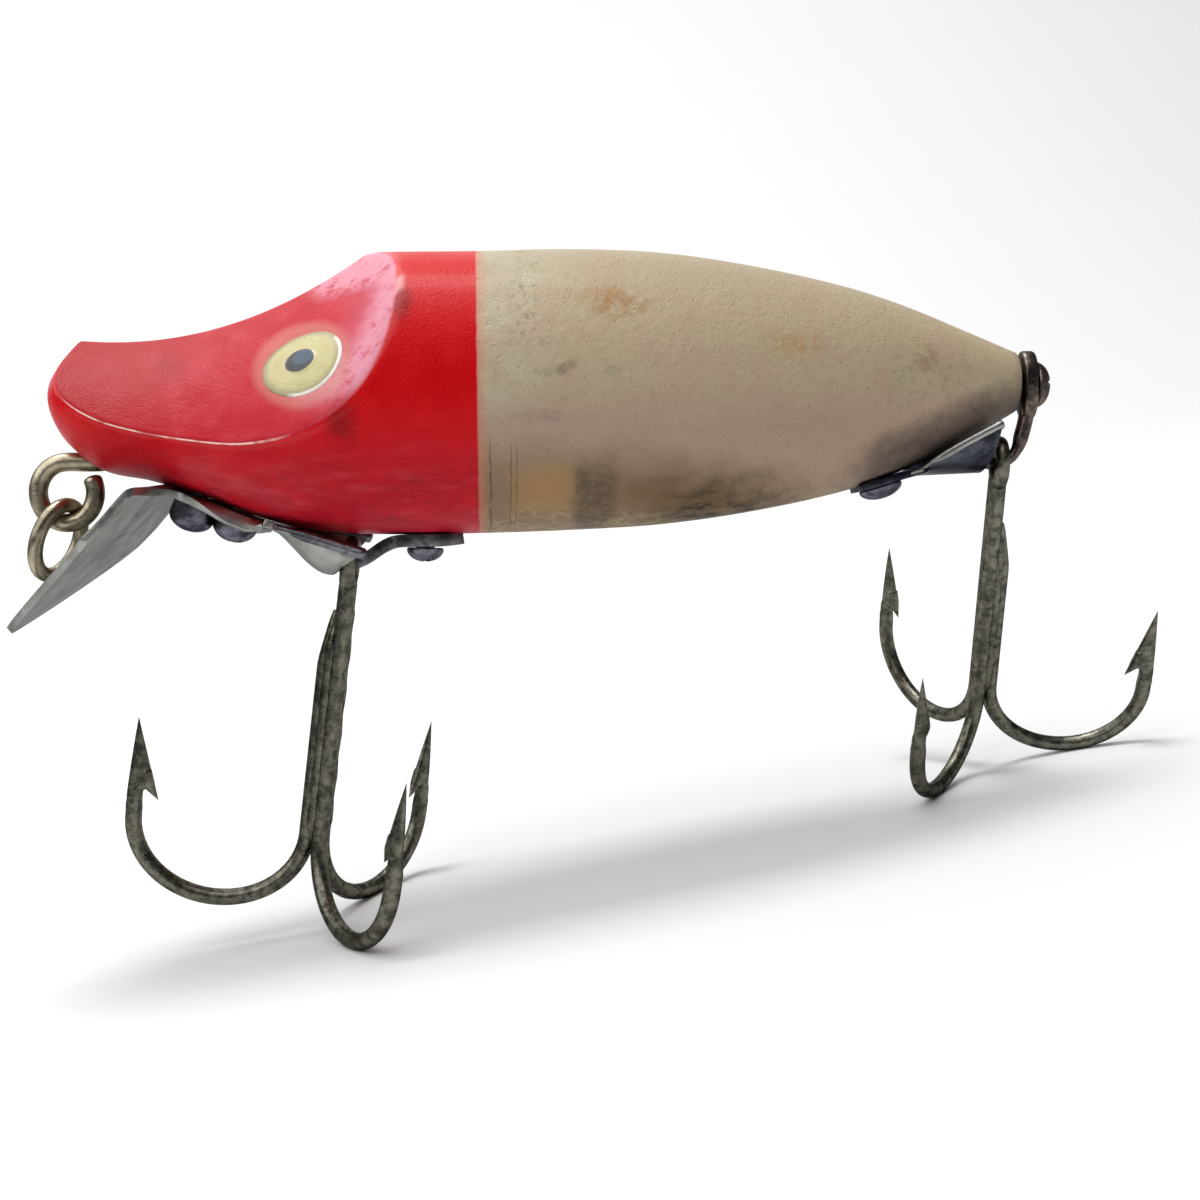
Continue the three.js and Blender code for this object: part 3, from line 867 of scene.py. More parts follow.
    def _lay_specks(self, coats: Coats) -> None:
        """Pores, specks of dirt behind the head and near the tail, and a few red scratches.

        Args:
            coats: The white's coats.
        """
        bench = coats.bench
        point, wavy, along, high = bench.point, bench.wavy, bench.along, bench.high
        pores = bench.cells(point, 1.9).between(0.11, 0.04) * bench.noise(point, 0.5).between(0.46, 0.6)
        coats.lay(pores * 0.5, self.pore)
        band = (along - 3.2).size().between(1.6, 0.3) * high.between(0.6, 3.0)
        tail = (along - 28.5).size().between(5.0, 1.0) * high.size().between(3.4, 1.0)
        dirt = bench.noise(point, 1.9, 5.0, 0.75).between(0.48, 0.68)
        coats.lay(dirt * (band | tail * 0.7) * 0.5, self.dirt)
        scratch = bench.noise(bench.stretch(wavy, (3.2, 1.0, 0.7)), 1.5, 2.0, 0.6).between(0.71, 0.75)
        coats.lay(scratch * along.between(18.0, 20.0) * high.between(1.0, -1.0) * 0.6, self.red_scratch)


@dataclass(frozen=True)
class PaintedEye:
    """Pale yellow iris with a blue-black pupil, inside a dull ring."""

    name: str
    centre: Triple
    across: Triple
    upward: Triple
    half: Pair
    iris: Colour = srgb(172, 161, 102)
    iris_light: Colour = srgb(198, 189, 138)
    vein: Colour = srgb(132, 116, 72)
    ring: Colour = srgb(140, 128, 92)
    glint: Colour = srgb(240, 238, 230)
    pupil: Colour = srgb(40, 66, 86)
    shade: Colour = srgb(8, 12, 22)

    def make(self) -> Material:
        """Build the material.

        Returns:
            The finished material.
        """
        bench = NodeBench(self.name)
        point = bench.plug_point()
        offset = bench.shift(point, self.centre)
        across = bench.vector("DOT_PRODUCT", offset, self.across)
        upward = bench.vector("DOT_PRODUCT", offset, self.upward)

        def oval(middle: Pair, half: Pair) -> Signal:
            """Distance from a point of the eye, 1 on the oval of that half size."""
            return (((across - middle[0]) / half[0]) ** 2.0 + ((upward - middle[1]) / half[1]) ** 2.0) ** 0.5

        wobble = (bench.noise(point, 1.6, 2.0) - 0.5) * 0.12
        span = oval((0.0, 0.0), self.half) + wobble * 0.3
        dot = oval((-0.12, 0.1), (1.0, 0.88)) + wobble
        veins = bench.cells(bench.stretch(point, (0.5, 0.5, 1.3)), 0.9, "DISTANCE_TO_EDGE").between(0.03, 0.0)
        lower_right = (across * 0.75 - upward * 0.66 + wobble * 8.0).between(0.4, 1.5)
        coats = Coats(bench, self.iris)
        coats.lay(bench.noise(point, 1.1, 4.0), self.iris_light)
        coats.lay(veins * bench.noise(point, 0.7).between(0.45, 0.6) * 0.5, self.vein)
        coats.lay(span.between(0.74, 0.95) * 0.85, self.ring)
        coats.lay(span.between(0.88, 0.93) * lower_right * 0.85, self.glint)
        centre = bench.mix(oval((0.08, 0.26), (0.8, 0.62)).between(0.82, 1.02), self.pupil, self.shade)
        coats.lay(dot.between(1.06, 0.94), centre)
        bench.feed("Base Color", coats.colour)
        bench.feed("Roughness", dot.between(1.0, 0.9) * -0.08 + 0.3)
        bench.bump(bench.noise(point, 3.0) + dot.between(1.1, 0.9) * 0.8, 0.00005, 0.5)
        bench.set(IOR=1.48, Coat_Weight=0.2, Coat_Roughness=0.14)
        return bench.material


@dataclass(frozen=True)
class PlatedMetal:
    """Old plate: a metal that varies between two tones, darkened in patches and scratched."""

    name: str
    light: Colour
    dark: Colour
    tarnish: Colour
    dullness: float
    tarnish_from: float
    grain: float
    pitting: float
    speckle: float = 0.4
    edge_tint: Colour = (0.35, 0.35, 0.35, 1.0)

    def make(self) -> Material:
        """Build the material.

        Returns:
            The finished material.
        """
        bench = NodeBench(self.name)
        point = bench.plug_point()
        wavy = bench.noise_vector(point, 0.6 * self.grain, 0.8 / self.grain)
        cloud = bench.noise(wavy, 0.45 * self.grain, 4.0, 0.62)
        brown = bench.noise(wavy, 0.8 * self.grain, 5.0, 0.7)
        brown = brown.between(self.tarnish_from, self.tarnish_from + 0.16)
        specks = bench.cells(point, 2.6).between(0.16, 0.05) * bench.noise(point, 0.7).between(0.45, 0.6)
        lines = bench.noise(bench.stretch(point, (0.5, 6.0, 6.0)), 1.6, 3.0, 0.6).between(0.5, 0.7)
        coats = Coats(bench, self.dark)
        coats.lay(cloud.between(0.34, 0.66), self.light)
        coats.lay(brown * 0.75, self.tarnish)
        coats.lay(specks * self.speckle, self.tarnish)
        coats.lay(lines * 0.15, self.light)
        bench.feed("Base Color", coats.colour)
        bench.feed("Roughness", cloud * 0.15 + brown * 0.2 + (self.dullness - 0.05))
        bench.feed("Metallic", brown * -0.3 + 1.0)
        bench.set(Specular_Tint=self.edge_tint)
        height = bench.noise(point, 3.2, 4.0, 0.7) * self.pitting + specks * -self.speckle + lines * 0.15
        bench.bump(height, 0.00004, 0.7)
        return bench.material


class Metal(Enum):
    """The metals of the lure's fittings."""

    LIP = PlatedMetal("lip_nickel", srgb(160, 161, 157), srgb(120, 121, 117), srgb(72, 68, 60),
                      0.3, 0.56, 0.9, 0.6)
    CUP = PlatedMetal("cup_blackened", srgb(84, 86, 94), srgb(36, 38, 50), srgb(20, 20, 28),
                      0.26, 0.52, 1.0, 0.6)
    STRAP = PlatedMetal("strap_grey", srgb(126, 126, 132), srgb(72, 72, 78), srgb(34, 32, 34),
                        0.3, 0.52, 1.6, 0.8, 0.6)
    HANGER = PlatedMetal("hanger_bronzed", srgb(120, 108, 102), srgb(54, 47, 45), srgb(28, 24, 24),
                         0.26, 0.5, 1.8, 0.8)
    SCREW = PlatedMetal("screw_blued", srgb(116, 116, 128), srgb(54, 54, 62), srgb(44, 38, 34),
                        0.24, 0.54, 1.6, 0.5)
    TIE = PlatedMetal("tie_wire", srgb(178, 169, 146), srgb(124, 116, 98), srgb(78, 62, 48),
                      0.26, 0.54, 1.3, 0.5)
    HOOK = PlatedMetal("hook_bronzed", srgb(122, 120, 108), srgb(72, 71, 64), srgb(40, 37, 33),
                       0.25, 0.56, 3.6, 0.9, 0.4)

    @cache
    def material(self) -> Material:
        """The metal's material, made when it is first used."""
        return self.value.make()


# Plug


@dataclass
class Plug:
    """The moulded plug with its two face scoops and painted eyes.

    Each station gives a place along the plug, the back, the belly and the half width there.
    """

    stations: tuple = (
        (-27.25, 0.05, -0.5, 0.9), (-26.92, 0.8, -1.8, 2.6), (-26.0, 2.25, -3.4, 4.2),
        (-24.0, 5.4, -5.0, 5.7), (-21.0, 7.1, -5.7, 6.9), (-17.5, 8.1, -6.78, 7.6),
        (-14.0, 8.55, -8.15, 8.0), (-10.0, 8.8, -9.05, 8.3), (-5.0, 8.9, -9.3, 8.45),
        (0.0, 8.95, -9.27, 8.5), (6.0, 9.08, -9.12, 8.5), (12.0, 8.85, -8.8, 8.25),
        (18.0, 8.0, -8.0, 7.5), (24.0, 6.7, -6.75, 6.25), (28.0, 5.45, -5.4, 4.95),
        (32.0, 3.85, -3.65, 3.5), (36.0, 2.2, -1.35, 1.8),
    )
    nose_round: float = 0.55
    nose_blunt: float = 0.3
    head_end: float = -5.0
    head_steps: int = 150
    head_crowding: float = 1.15
    tail_steps: int = 90
    sides: int = 240
    low_centre_lift: float = 2.2
    low_centre_from: Pair = (4.0, 16.0)
    nose_centre_to: float = -24.0
    scoop_centre: Triple = (-21.5, -26.0, 15.8)
    scoop_axis: Triple = (-0.111, 0.606, 0.788)
    scoop_waist: float = 27.33
    scoop_flare: float = 0.05
    rim_round: float = 0.32
    eye_centre: Triple = (-10.68, -5.59, 1.19)
    eye_half: Pair = (2.8, 2.5)
    eye_height: float = 0.2
    pupil_height: float = 0.05
    eye_sunk: float = 0.12

    def scoop_depth(self, points: Array, side: float) -> Array:
        """How far points lie outside a scoop's cutter.

        Args:
            points: Plug points of shape (n, 3).
            side: 1 for the near scoop and -1 for the far one.

        Returns:
            Millimetres, less than nothing inside the cutter.
        """
        mirror = np.array([1.0, side, 1.0])
        axis = unit(np.array(self.scoop_axis) * mirror)
        offset = points - np.array(self.scoop_centre) * mirror
        along = offset @ axis
        radial = np.sqrt(np.maximum((offset ** 2).sum(axis=1) - along ** 2, 0.0))
        return radial - (self.scoop_waist + self.scoop_flare * along ** 2 / 2)

    def _scoop_reach(self, centre: Array, direction: Array, limit: Array, side: float) -> Array:
        """How far rays run before they meet a scoop.

        Args:
            centre: Where each ray starts.
            direction: Its direction, one long.
            limit: How far it may run.
            side: 1 for the near scoop and -1 for the far one.

        Returns:
            The distances, well past the limit where a ray meets no scoop.
        """
        halvings = 24
        low = np.zeros(len(limit))
        high = limit + 1.0
        found = self.scoop_depth(centre + direction * high[:, None], side) < 0
        for _ in range(halvings):
            middle = (low + high) / 2
            inside = self.scoop_depth(centre + direction * middle[:, None], side) < 0
            high = np.where(inside, middle, high)
            low = np.where(inside, low, middle)
        return np.where(found, high, limit + 5.0)

    def surface(self, u: Array, v: Array) -> Array:
        """Points of the finished skin.

        Args:
            u: 0 at the nose to 1 at the tail.
            v: Round the plug, 0 to 1 from the back.

        Returns:
            Plug points of shape (n, 3).
        """
        nose = self.stations[0][0]
        tail = self.stations[-1][0]
        split = self.head_steps / (self.head_steps + self.tail_steps)
        at_nose = u < 1e-6
        at_tail = u > 1 - 1e-6
        x = np.where(
            u < split,
            nose + (self.head_end - nose) * (u / split) ** self.head_crowding,
            self.head_end + (tail - self.head_end) * (u - split) / (1 - split),
        )
        inner = np.clip((x - nose) / self.nose_round, 0.0, 1.0)
        shrink = np.maximum(np.sqrt(inner * (2 - inner)), self.nose_blunt)
        shrink = np.where(at_nose | at_tail, 0.0, shrink)
        x = np.where(at_tail, tail, x)
        back, belly, half_width = (smooth_column(self.stations, column, x) for column in (1, 2, 3))
        middle_height = (back + belly) / 2
        turn = v * 2 * np.pi
        half_height = (back - belly) / 2
        section = np.stack([np.zeros_like(x), half_width * np.sin(turn), half_height * np.cos(turn)], axis=1)
        lowered = smooth_step(-x, *self.low_centre_from)
        low_centre = middle_height * (1 - lowered) + (belly + self.low_centre_lift) * lowered
        low_centre = np.where(x < self.nose_centre_to, np.minimum(low_centre, middle_height), low_centre)
        centre = np.stack([x, np.zeros_like(x), low_centre], axis=1)
        middle = np.stack([x, np.zeros_like(x), middle_height], axis=1)
        ray = middle + section * shrink[:, None] - centre
        length = np.maximum(np.linalg.norm(ray, axis=1), 1e-6)
        direction = ray / length[:, None]
        reach = length
        for side in (1.0, -1.0):
            cut = self._scoop_reach(centre, direction, length, side)
            blend = np.maximum(self.rim_round - np.abs(reach - cut), 0.0) / self.rim_round
            reach = np.minimum(reach, cut) - blend ** 2 * self.rim_round / 4
        reach = np.where(at_nose | at_tail, 0.0, np.maximum(reach, 0.0))
        return centre + direction * reach[:, None]

    def eye_frame(self, side: float) -> tuple[Array, Array, Array, Array]:
        """How an eye lies on its scoop.

        Args:
            side: 1 for the near eye and -1 for the far one.

        Returns:
            Its centre, its two axes on the scoop and its outward direction.
        """
        centre = np.array(self.eye_centre) * np.array([1.0, side, 1.0])
        tiny = 0.01 * np.eye(3)
        outward = -unit(self.scoop_depth(centre + tiny, side) - self.scoop_depth(centre - tiny, side))
        across = unit(np.array([1.0, 0.0, 0.0]) - outward[0] * outward)
        upward = np.cross(outward, across)
        return centre, across, upward * np.sign(upward[2]), outward

    def eye_shape(self, side: float) -> Mesh:
        """A low dome that lies on the scoop.

        Args:
            side: 1 for the near eye and -1 for the far one.

        Returns:
            The dome's mesh.
        """
        centre, across, upward, outward = self.eye_frame(side)

        def place(u: Array, v: Array) -> Array:
            """Points from the rim, sunk in the scoop, to the middle."""
            turn = v * 2 * np.pi
            share = 1.0 - u
            points = centre + np.outer(share * np.cos(turn) * self.eye_half[0], across)
            points = points + np.outer(share * np.sin(turn) * self.eye_half[1], upward)
            for _ in range(4):
                points = points + np.outer(self.scoop_depth(points, side), outward)
            height = self.eye_height * (1 - share ** 5)
            height = height + self.pupil_height * (1 - smooth_step(share, 0.3, 0.42))
            height = np.where(share > 0.985, -self.eye_sunk, height)
            return points + np.outer(height, outward)

        return skin(40, 72, place)

    def build(self) -> None:
        """Make the skin and both eyes."""
        shape = skin(self.head_steps + self.tail_steps, self.sides, self.surface)
        finish_piece("plug_skin", shape, PlugPaint().make(), "body", sharp=60.0)
        for name, side in (("eye_near", 1.0), ("eye_far", -1.0)):
            centre, across, upward, _ = self.eye_frame(side)
            paint = PaintedEye(name, tuple(centre), tuple(across), tuple(upward), self.eye_half).make()
            finish_piece(name, self.eye_shape(side), paint, sharp=70.0)


# Metal work


def chin_height(x: Array) -> Array:
    """Height of a sheet's middle where it lies against the plug's belly."""
    return smooth_column(Plug.stations, 2, x) - SHEET / 2 - 0.02


@dataclass
class DivingLip:
    """Lip, tongue and front hook cup, pressed from one sheet.

    The line runs from the tongue's rear end to the lip's tip. Along the tongue the edges turn down
    into a skirt, which starts, is full, begins to end and has ended at the skirt places.
    """

    line: tuple = (
        (-13.6, 0.0, -8.72), (-15.3, 0.0, -8.08), (-17.2, 0.0, -7.3), (-18.6, 0.0, -6.6), (-19.6, 0.0, -6.2),
        (-20.5, 0.0, -6.45), (-22.3, 0.0, -8.35), (-24.4, 0.0, -10.44), (-30.1, 0.0, -15.2),
    )
    steps: int = 110
    tongue_half_width: float = 2.6
    lip_half_width: float = 8.0
    taper_length: float = 8.5
    tip_share: float = 0.012
    flare_start: float = 12.3
    flare_length: float = 2.8
    tongue_curl_radius: float = 15.0
    seated_from: Pair = (-19.6, -18.0)
    skirt: float = 0.62
    skirt_places: tuple = (-18.6, -15.6, -14.8, -13.3)
    skirt_from: float = 0.9
    rim_bead: float = 0.4
    cup_front: float = -13.6
    cup_rear: Pair = (-7.3, -9.5)
    rim_height: float = -10.6
    bottom_height: float = -11.65
    cup_half_width: Pair = (2.6, 3.5)
    far_rise: float = 1.2

    def blade(self) -> Mesh:
        """Middle surface of the tongue and the lip.

        Returns:
            The open sheet.
        """
        path = smooth_path(self.line, self.steps)
        lengths = lengths_along(path)
        along = unit(np.gradient(path, axis=0))
        chin_side = np.stack([along[:, 2], np.zeros(len(path)), -along[:, 0]], axis=1)
        to_tip = lengths[-1] - lengths
        flare = smooth_step(self.flare_start + self.flare_length - to_tip, 0.0, self.flare_length)
        taper = np.clip(to_tip / self.taper_length, self.tip_share, 1.0) ** 0.8
        half = (self.tongue_half_width * (1 - flare) + self.lip_half_width * flare) * taper
        path[:, 2] += (chin_height(path[:, 0]) - path[:, 2]) * smooth_step(path[:, 0], *self.seated_from)
        starts, full, ends, ended = self.skirt_places
        skirt = smooth_step(path[:, 0], starts, full) - smooth_step(path[:, 0], ends, ended)

        def place(u: Array, v: Array) -> Array:
            """Points across each station."""
            i = np.rint(u * self.steps).astype(int)
            y = (2 * v - 1) * half[i]
            curl = (flare[i] - 1) * y * y / (2 * self.tongue_curl_radius)
            points = path[i] + chin_side[i] * curl[:, None]
            points[:, 1] = y
            points[:, 2] -= self.skirt * skirt[i] * smooth_step(np.abs(y) / half[i], self.skirt_from, 1.0)
            return points

        return skin(self.steps, 36, place, wrap=False)

    def _trough(self, u: Array, v: Array) -> Array:
        """Points of the front hook cup.

        Args:
            u: 0 at its front to 1 at its open rear.
            v: From the near rim at 0 to the far rim at 1.

        Returns:
            Plug points of shape (n, 3).
        """
        angle = (2 * v - 1) * np.pi / 2
        fall = np.sin(u * np.pi / 2)
        front = chin_height(np.full_like(u, self.cup_front))
        rim = front + (self.rim_height - front) * u
        bottom = np.minimum(front + (self.bottom_height - front) * fall ** 1.7, rim - 0.02 * u)
        rim = rim + self.far_rise * fall * np.maximum(np.sin(angle), 0.0)
        rear = self.cup_rear[0] + (self.cup_rear[1] - self.cup_rear[0]) * np.cos(angle)
        half = self.cup_half_width[0] + (self.cup_half_width[1] - self.cup_half_width[0]) * u
        x = self.cup_front + (rear - self.cup_front) * u
        return np.stack([x, half * np.sin(angle), rim - (rim - bottom) * np.cos(angle)], axis=1)

    def build(self) -> None:
        """Make the lip piece and the rolled rims of its cup."""
        shape = joined((self.blade(), skin(30, 28, self._trough, wrap=False)))
        plate(finish_piece("lip_sheet", shape, Metal.LIP.material(), "diving_lip"))
        bead = rolled_rims(self._trough, 0.12, self.rim_bead, 0.35, (0.1, 0.45))
        finish_piece("front_cup_rim", bead, Metal.STRAP.material())


def rolled_rims(trough: Callable[[Array, Array], Array], start: float, radius: float, thin: float,
                swelling: Pair) -> Mesh:
    """Rolled edges along both rims of a cup.

    Args:
        trough: The cup's surface, from rim to rim over v.
        start: Where the rims begin, along u.
        radius: Their full radius.
        thin: The share of it that they begin with.
        swelling: Where they begin to swell and where they are full, along u.

    Returns:
        Both rims as one mesh.
    """
    u = np.linspace(start, 1.0, 30)
    size = radius * (thin + (1 - thin) * smooth_step(u, *swelling))
    return joined([swept(trough(u, np.full_like(u, v)), size, 14) for v in (0.0, 1.0)])


@dataclass
class RearCup:
    """Rear hook cup with its plate; of each pair the first is at the rims or at the front."""

    front: float = 24.9
    shoulder: float = 28.8
    shoulder_round: float = 1.6
    rear: Pair = (33.9, 33.2)
    plate_height: float = -6.6
    shoulder_height: float = -5.5
    rim_height: float = -2.95
    bottom_height: float = -5.35
    half_width: Pair = (1.8, 2.9)
    rim_bead: float = 0.31

    def _trough(self, u: Array, v: Array) -> Array:
        """Points of the plate and the trough behind it.

        Args:
            u: 0 at the plate's front to 1 at the cup's open rear.
            v: From the near rim at 0 to the far rim at 1.

        Returns:
            Plug points of shape (n, 3).
        """
        angle = (2 * v - 1) * np.pi / 2
        rear = self.rear[0] + (self.rear[1] - self.rear[0]) * np.cos(angle)
        x = self.front + (rear - self.front) * u
        share = np.clip((x - self.shoulder) / (self.rear[1] - self.shoulder), 0.0, 1.2)
        slope = (self.shoulder_height - self.plate_height) / (self.shoulder - self.front)
        flat = np.minimum(self.plate_height + (x - self.front) * slope, self.shoulder_height)
        bottom = flat + (self.bottom_height - flat) * np.minimum(share, 1.0)
        rim = flat + (self.rim_height - flat) * share ** 0.85
        widen = smooth_step(x, self.shoulder - self.shoulder_round, self.shoulder + self.shoulder_round)
        half = self.half_width[0] + (self.half_width[1] - self.half_width[0]) * widen
        return np.stack([x, half * np.sin(angle), rim - (rim - bottom) * np.cos(angle)], axis=1)

    def build(self) -> None:
        """Make the cup piece and its rolled rims."""
        shape = skin(44, 28, self._trough, wrap=False)
        plate(finish_piece("rear_cup_sheet", shape, Metal.CUP.material(), "rear_hook_cup"))
        bead = rolled_rims(self._trough, 0.36, self.rim_bead, 0.4, (0.36, 0.6))
        finish_piece("rear_cup_rim", bead, Metal.LIP.material())


@dataclass
class HookStrap:
    """Screwed strap whose narrow tongue passes through the front treble's eye."""

    line: tuple = (
        (-1.0, 0.0, -9.56), (-2.2, 0.0, -9.7), (-3.8, 0.0, -9.74), (-5.4, 0.0, -9.78), (-6.3, 0.0, -10.16),
        (-7.3, 0.0, -10.82), (-8.3, 0.0, -11.2), (-9.1, 0.0, -11.18),
    )
    steps: int = 60
    half_width: float = 1.5
    tongue_half_width: float = 0.45
    narrowing: Pair = (0.5, 0.72)
    round_share: float = 0.15
    thickness: float = 0.78
    eased: float = 0.16

    def build(self) -> None:
        """Make the strap piece."""
        path = smooth_path(self.line, self.steps)
        share = np.linspace(0.0, 1.0, self.steps + 1)
        narrow = smooth_step(share, *self.narrowing)
        round_end = np.sqrt(np.maximum(0.02, 1 - np.maximum(0.0, 1 - share / self.round_share) ** 2))
        half = self.half_width * round_end * (1 - narrow) + self.tongue_half_width * narrow

        def place(u: Array, v: Array) -> Array:
            """Points across each station."""
            i = np.rint(u * self.steps).astype(int)
            points = path[i].copy()
            points[:, 1] = (2 * v - 1) * half[i]
            return points

        shape = skin(self.steps, 12, place, wrap=False)
        item = finish_piece("strap_sheet", shape, Metal.STRAP.material(), "hook_strap")
        plate(item, self.thickness, self.eased)


@dataclass
class TailHanger:
    """Oval end plate with a rolled rim, and the wire arm that carries the rear treble."""

    x: float = 36.02
    z: float = 0.22
    radius: float = 2.25
    thickness: float = 0.93
    narrow: float = 0.62
    arm: tuple = (
        (36.5, 0.0, -1.4), (36.35, 0.0, -2.2), (36.1, 0.0, -3.1), (35.85, 0.0, -3.9), (35.35, 0.0, -4.6),
        (34.6, 0.0, -4.95), (33.75, 0.0, -5.0),
    )
    arm_radius: Pair = (0.5, 0.37)
    arm_taper: Pair = (-3.2, -4.3)

    def disc(self) -> Mesh:
        """The end plate, spun from its outline and narrowed.

        Returns:
            The plate's mesh.
        """
        r = self.radius
        top = self.thickness
        outline = (
            (0.0, 0.0), (r - 0.2, 0.0), (r - 0.05, 0.06), (r, 0.2), (r, top - 0.2), (r - 0.06, top - 0.06),
            (r - 0.22, top), (r - 0.5, top - 0.02), (r - 0.66, top - 0.14), (0.0, top - 0.16),
        )
        made = turned(outline, Vector((self.x, 0.0, self.z)), Vector((1.0, 0.0, 0.0)), 64)
        made.transform(Matrix.Diagonal((1.0, self.narrow, 1.0, 1.0)))
        return made

    def build(self) -> None:
        """Make the hanger piece."""
        path = smooth_path(self.arm, 48)
        thick, thin = self.arm_radius
        full, tapered = self.arm_taper
        arm = swept(path, thin + (thick - thin) * smooth_step(path[:, 2], tapered, full), 20)
        shape = joined((self.disc(), arm))
        finish_piece("tail_hanger_piece", shape, Metal.HANGER.material(), "tail_hanger")


@dataclass
class Screw:
    """Domed screw with a slot."""

    name: str
    seat: Pair
    out: Pair
    radius: float
    height: float
    slot_turn: float
    sink: float
    wall: float = 0.1
    metal: Metal = Metal.SCREW
    eased: float = 0.08
    dome_steps: int = 10
    slot_half_width: float = 0.17
    slot_depth: float = 0.4
    slot_slope: float = 0.03
    shank_radius: float = 0.6
    shank_length: float = 3.0

    def build(self) -> None:
        """Make the screw piece."""
        outline = [(0.0, -self.shank_length), (self.shank_radius, -self.shank_length),
                   (self.shank_radius, 0.0), (self.radius - self.eased, 0.0), (self.radius, self.wall)]
        for i in range(1, self.dome_steps + 1):
            angle = i / self.dome_steps * math.pi / 2
            height = self.wall + (self.height - self.wall) * math.sin(angle)
            outline.append((self.radius * math.cos(angle) if i < self.dome_steps else 0.0, height))
        made = turned(outline, Vector((0, 0, 0)), Vector((0, 0, 1)), 48)
        self._cut_slot(made)
        out = Vector((self.out[0], 0.0, self.out[1])).normalized()
        foot = Vector((self.seat[0], 0.0, self.seat[1])) - out * self.sink
        turn = Vector((0.0, 0.0, 1.0)).rotation_difference(out)
        made.transform(Matrix.LocRotScale(foot, turn, None))
        finish_piece(f"{self.name}_head", made, self.metal.material(), self.name, sharp=40.0)

    def _cut_slot(self, made: Mesh) -> None:
        """Sink a straight slot across the dome.

        Args:
            made: The screw's mesh, with its axis upright.
        """
        turn = math.radians(self.slot_turn)
        across = Vector((-math.sin(turn), math.cos(turn), 0.0))
        for half in (-self.slot_half_width, self.slot_half_width):
            for step in (0.0, math.copysign(self.slot_slope, half)):
                geometry = [*made.verts, *made.edges, *made.faces]
                bmesh.ops.bisect_plane(made, geom=geometry, dist=1e-6, plane_co=across * (half + step),
                                       plane_no=across)
        floor = self.height - self.slot_depth
        for vertex in made.verts:
            if abs(vertex.co.dot(across)) < self.slot_half_width + 1e-4 and vertex.co.z > floor:
                vertex.co.z = floor


@dataclass
class LineTie:
    """Bent wire eye in the chin and the closed link hung in it."""

    wire: float = 0.6
    centre: Triple = (-26.35, 0.0, -6.4)
    half_length: float = 1.8
    half_height: float = 1.95
    root: tuple = ((-22.3, 0.0, -4.0), (-23.3, 0.0, -4.35), (-24.5, 0.0, -4.48), (-25.5, 0.0, -4.46))
    sweep: Pair = (92.0, 384.0)
    eye_steps: int = 64
    link_wire: float = 0.48
    link_centre: Triple = (-26.95, 0.0, -9.45)
    link_half_length: float = 2.35
    link_half_width: float = 1.75
    link_left: Triple = (-0.56, -0.83, 0.0)
    link_down: Triple = (-0.34, 0.0, -0.94)
    link_steps: int = 72

    def eye(self) -> Mesh:
        """The wire eye, from its root in the plug round to its open end.

        Returns:
            The eye's mesh.
        """
        angles = np.radians(np.linspace(*self.sweep, self.eye_steps))
        flat = np.zeros(self.eye_steps)
        loop = np.stack([np.cos(angles) * self.half_length, flat, np.sin(angles) * self.half_height], axis=1)
        loop += np.array(self.centre)
        path = smooth_path([*self.root, *loop[::4], loop[-1]], 90)
        return swept(path, np.full(len(path), self.wire), 20)

    def link(self) -> Mesh:
        """The closed oval link.

        Returns:
            The link's mesh.
        """
        left = Vector(self.link_left).normalized()
        down = Vector(self.link_down).normalized()
        normal = left.cross(down).normalized()
        left = down.cross(normal).normalized()
        turn = np.linspace(0.0, 2 * np.pi, self.link_steps, endpoint=False)
        ring = (np.outer(np.cos(turn) * self.link_half_width, np.array(left))
                + np.outer(np.sin(turn) * self.link_half_length, np.array(down)) + np.array(self.link_centre))
        return swept(ring, np.full(self.link_steps, self.link_wire), 20, loop=True, across=tuple(normal))

    def build(self) -> None:
        """Make the eye and the link."""
        finish = Metal.TIE.material()
        finish_piece("tie_eye_wire", self.eye(), finish, "line_tie_eye", sharp=60.0)
        finish_piece("tie_link_wire", self.link(), finish, "line_tie_link", sharp=60.0)


# Treble hooks


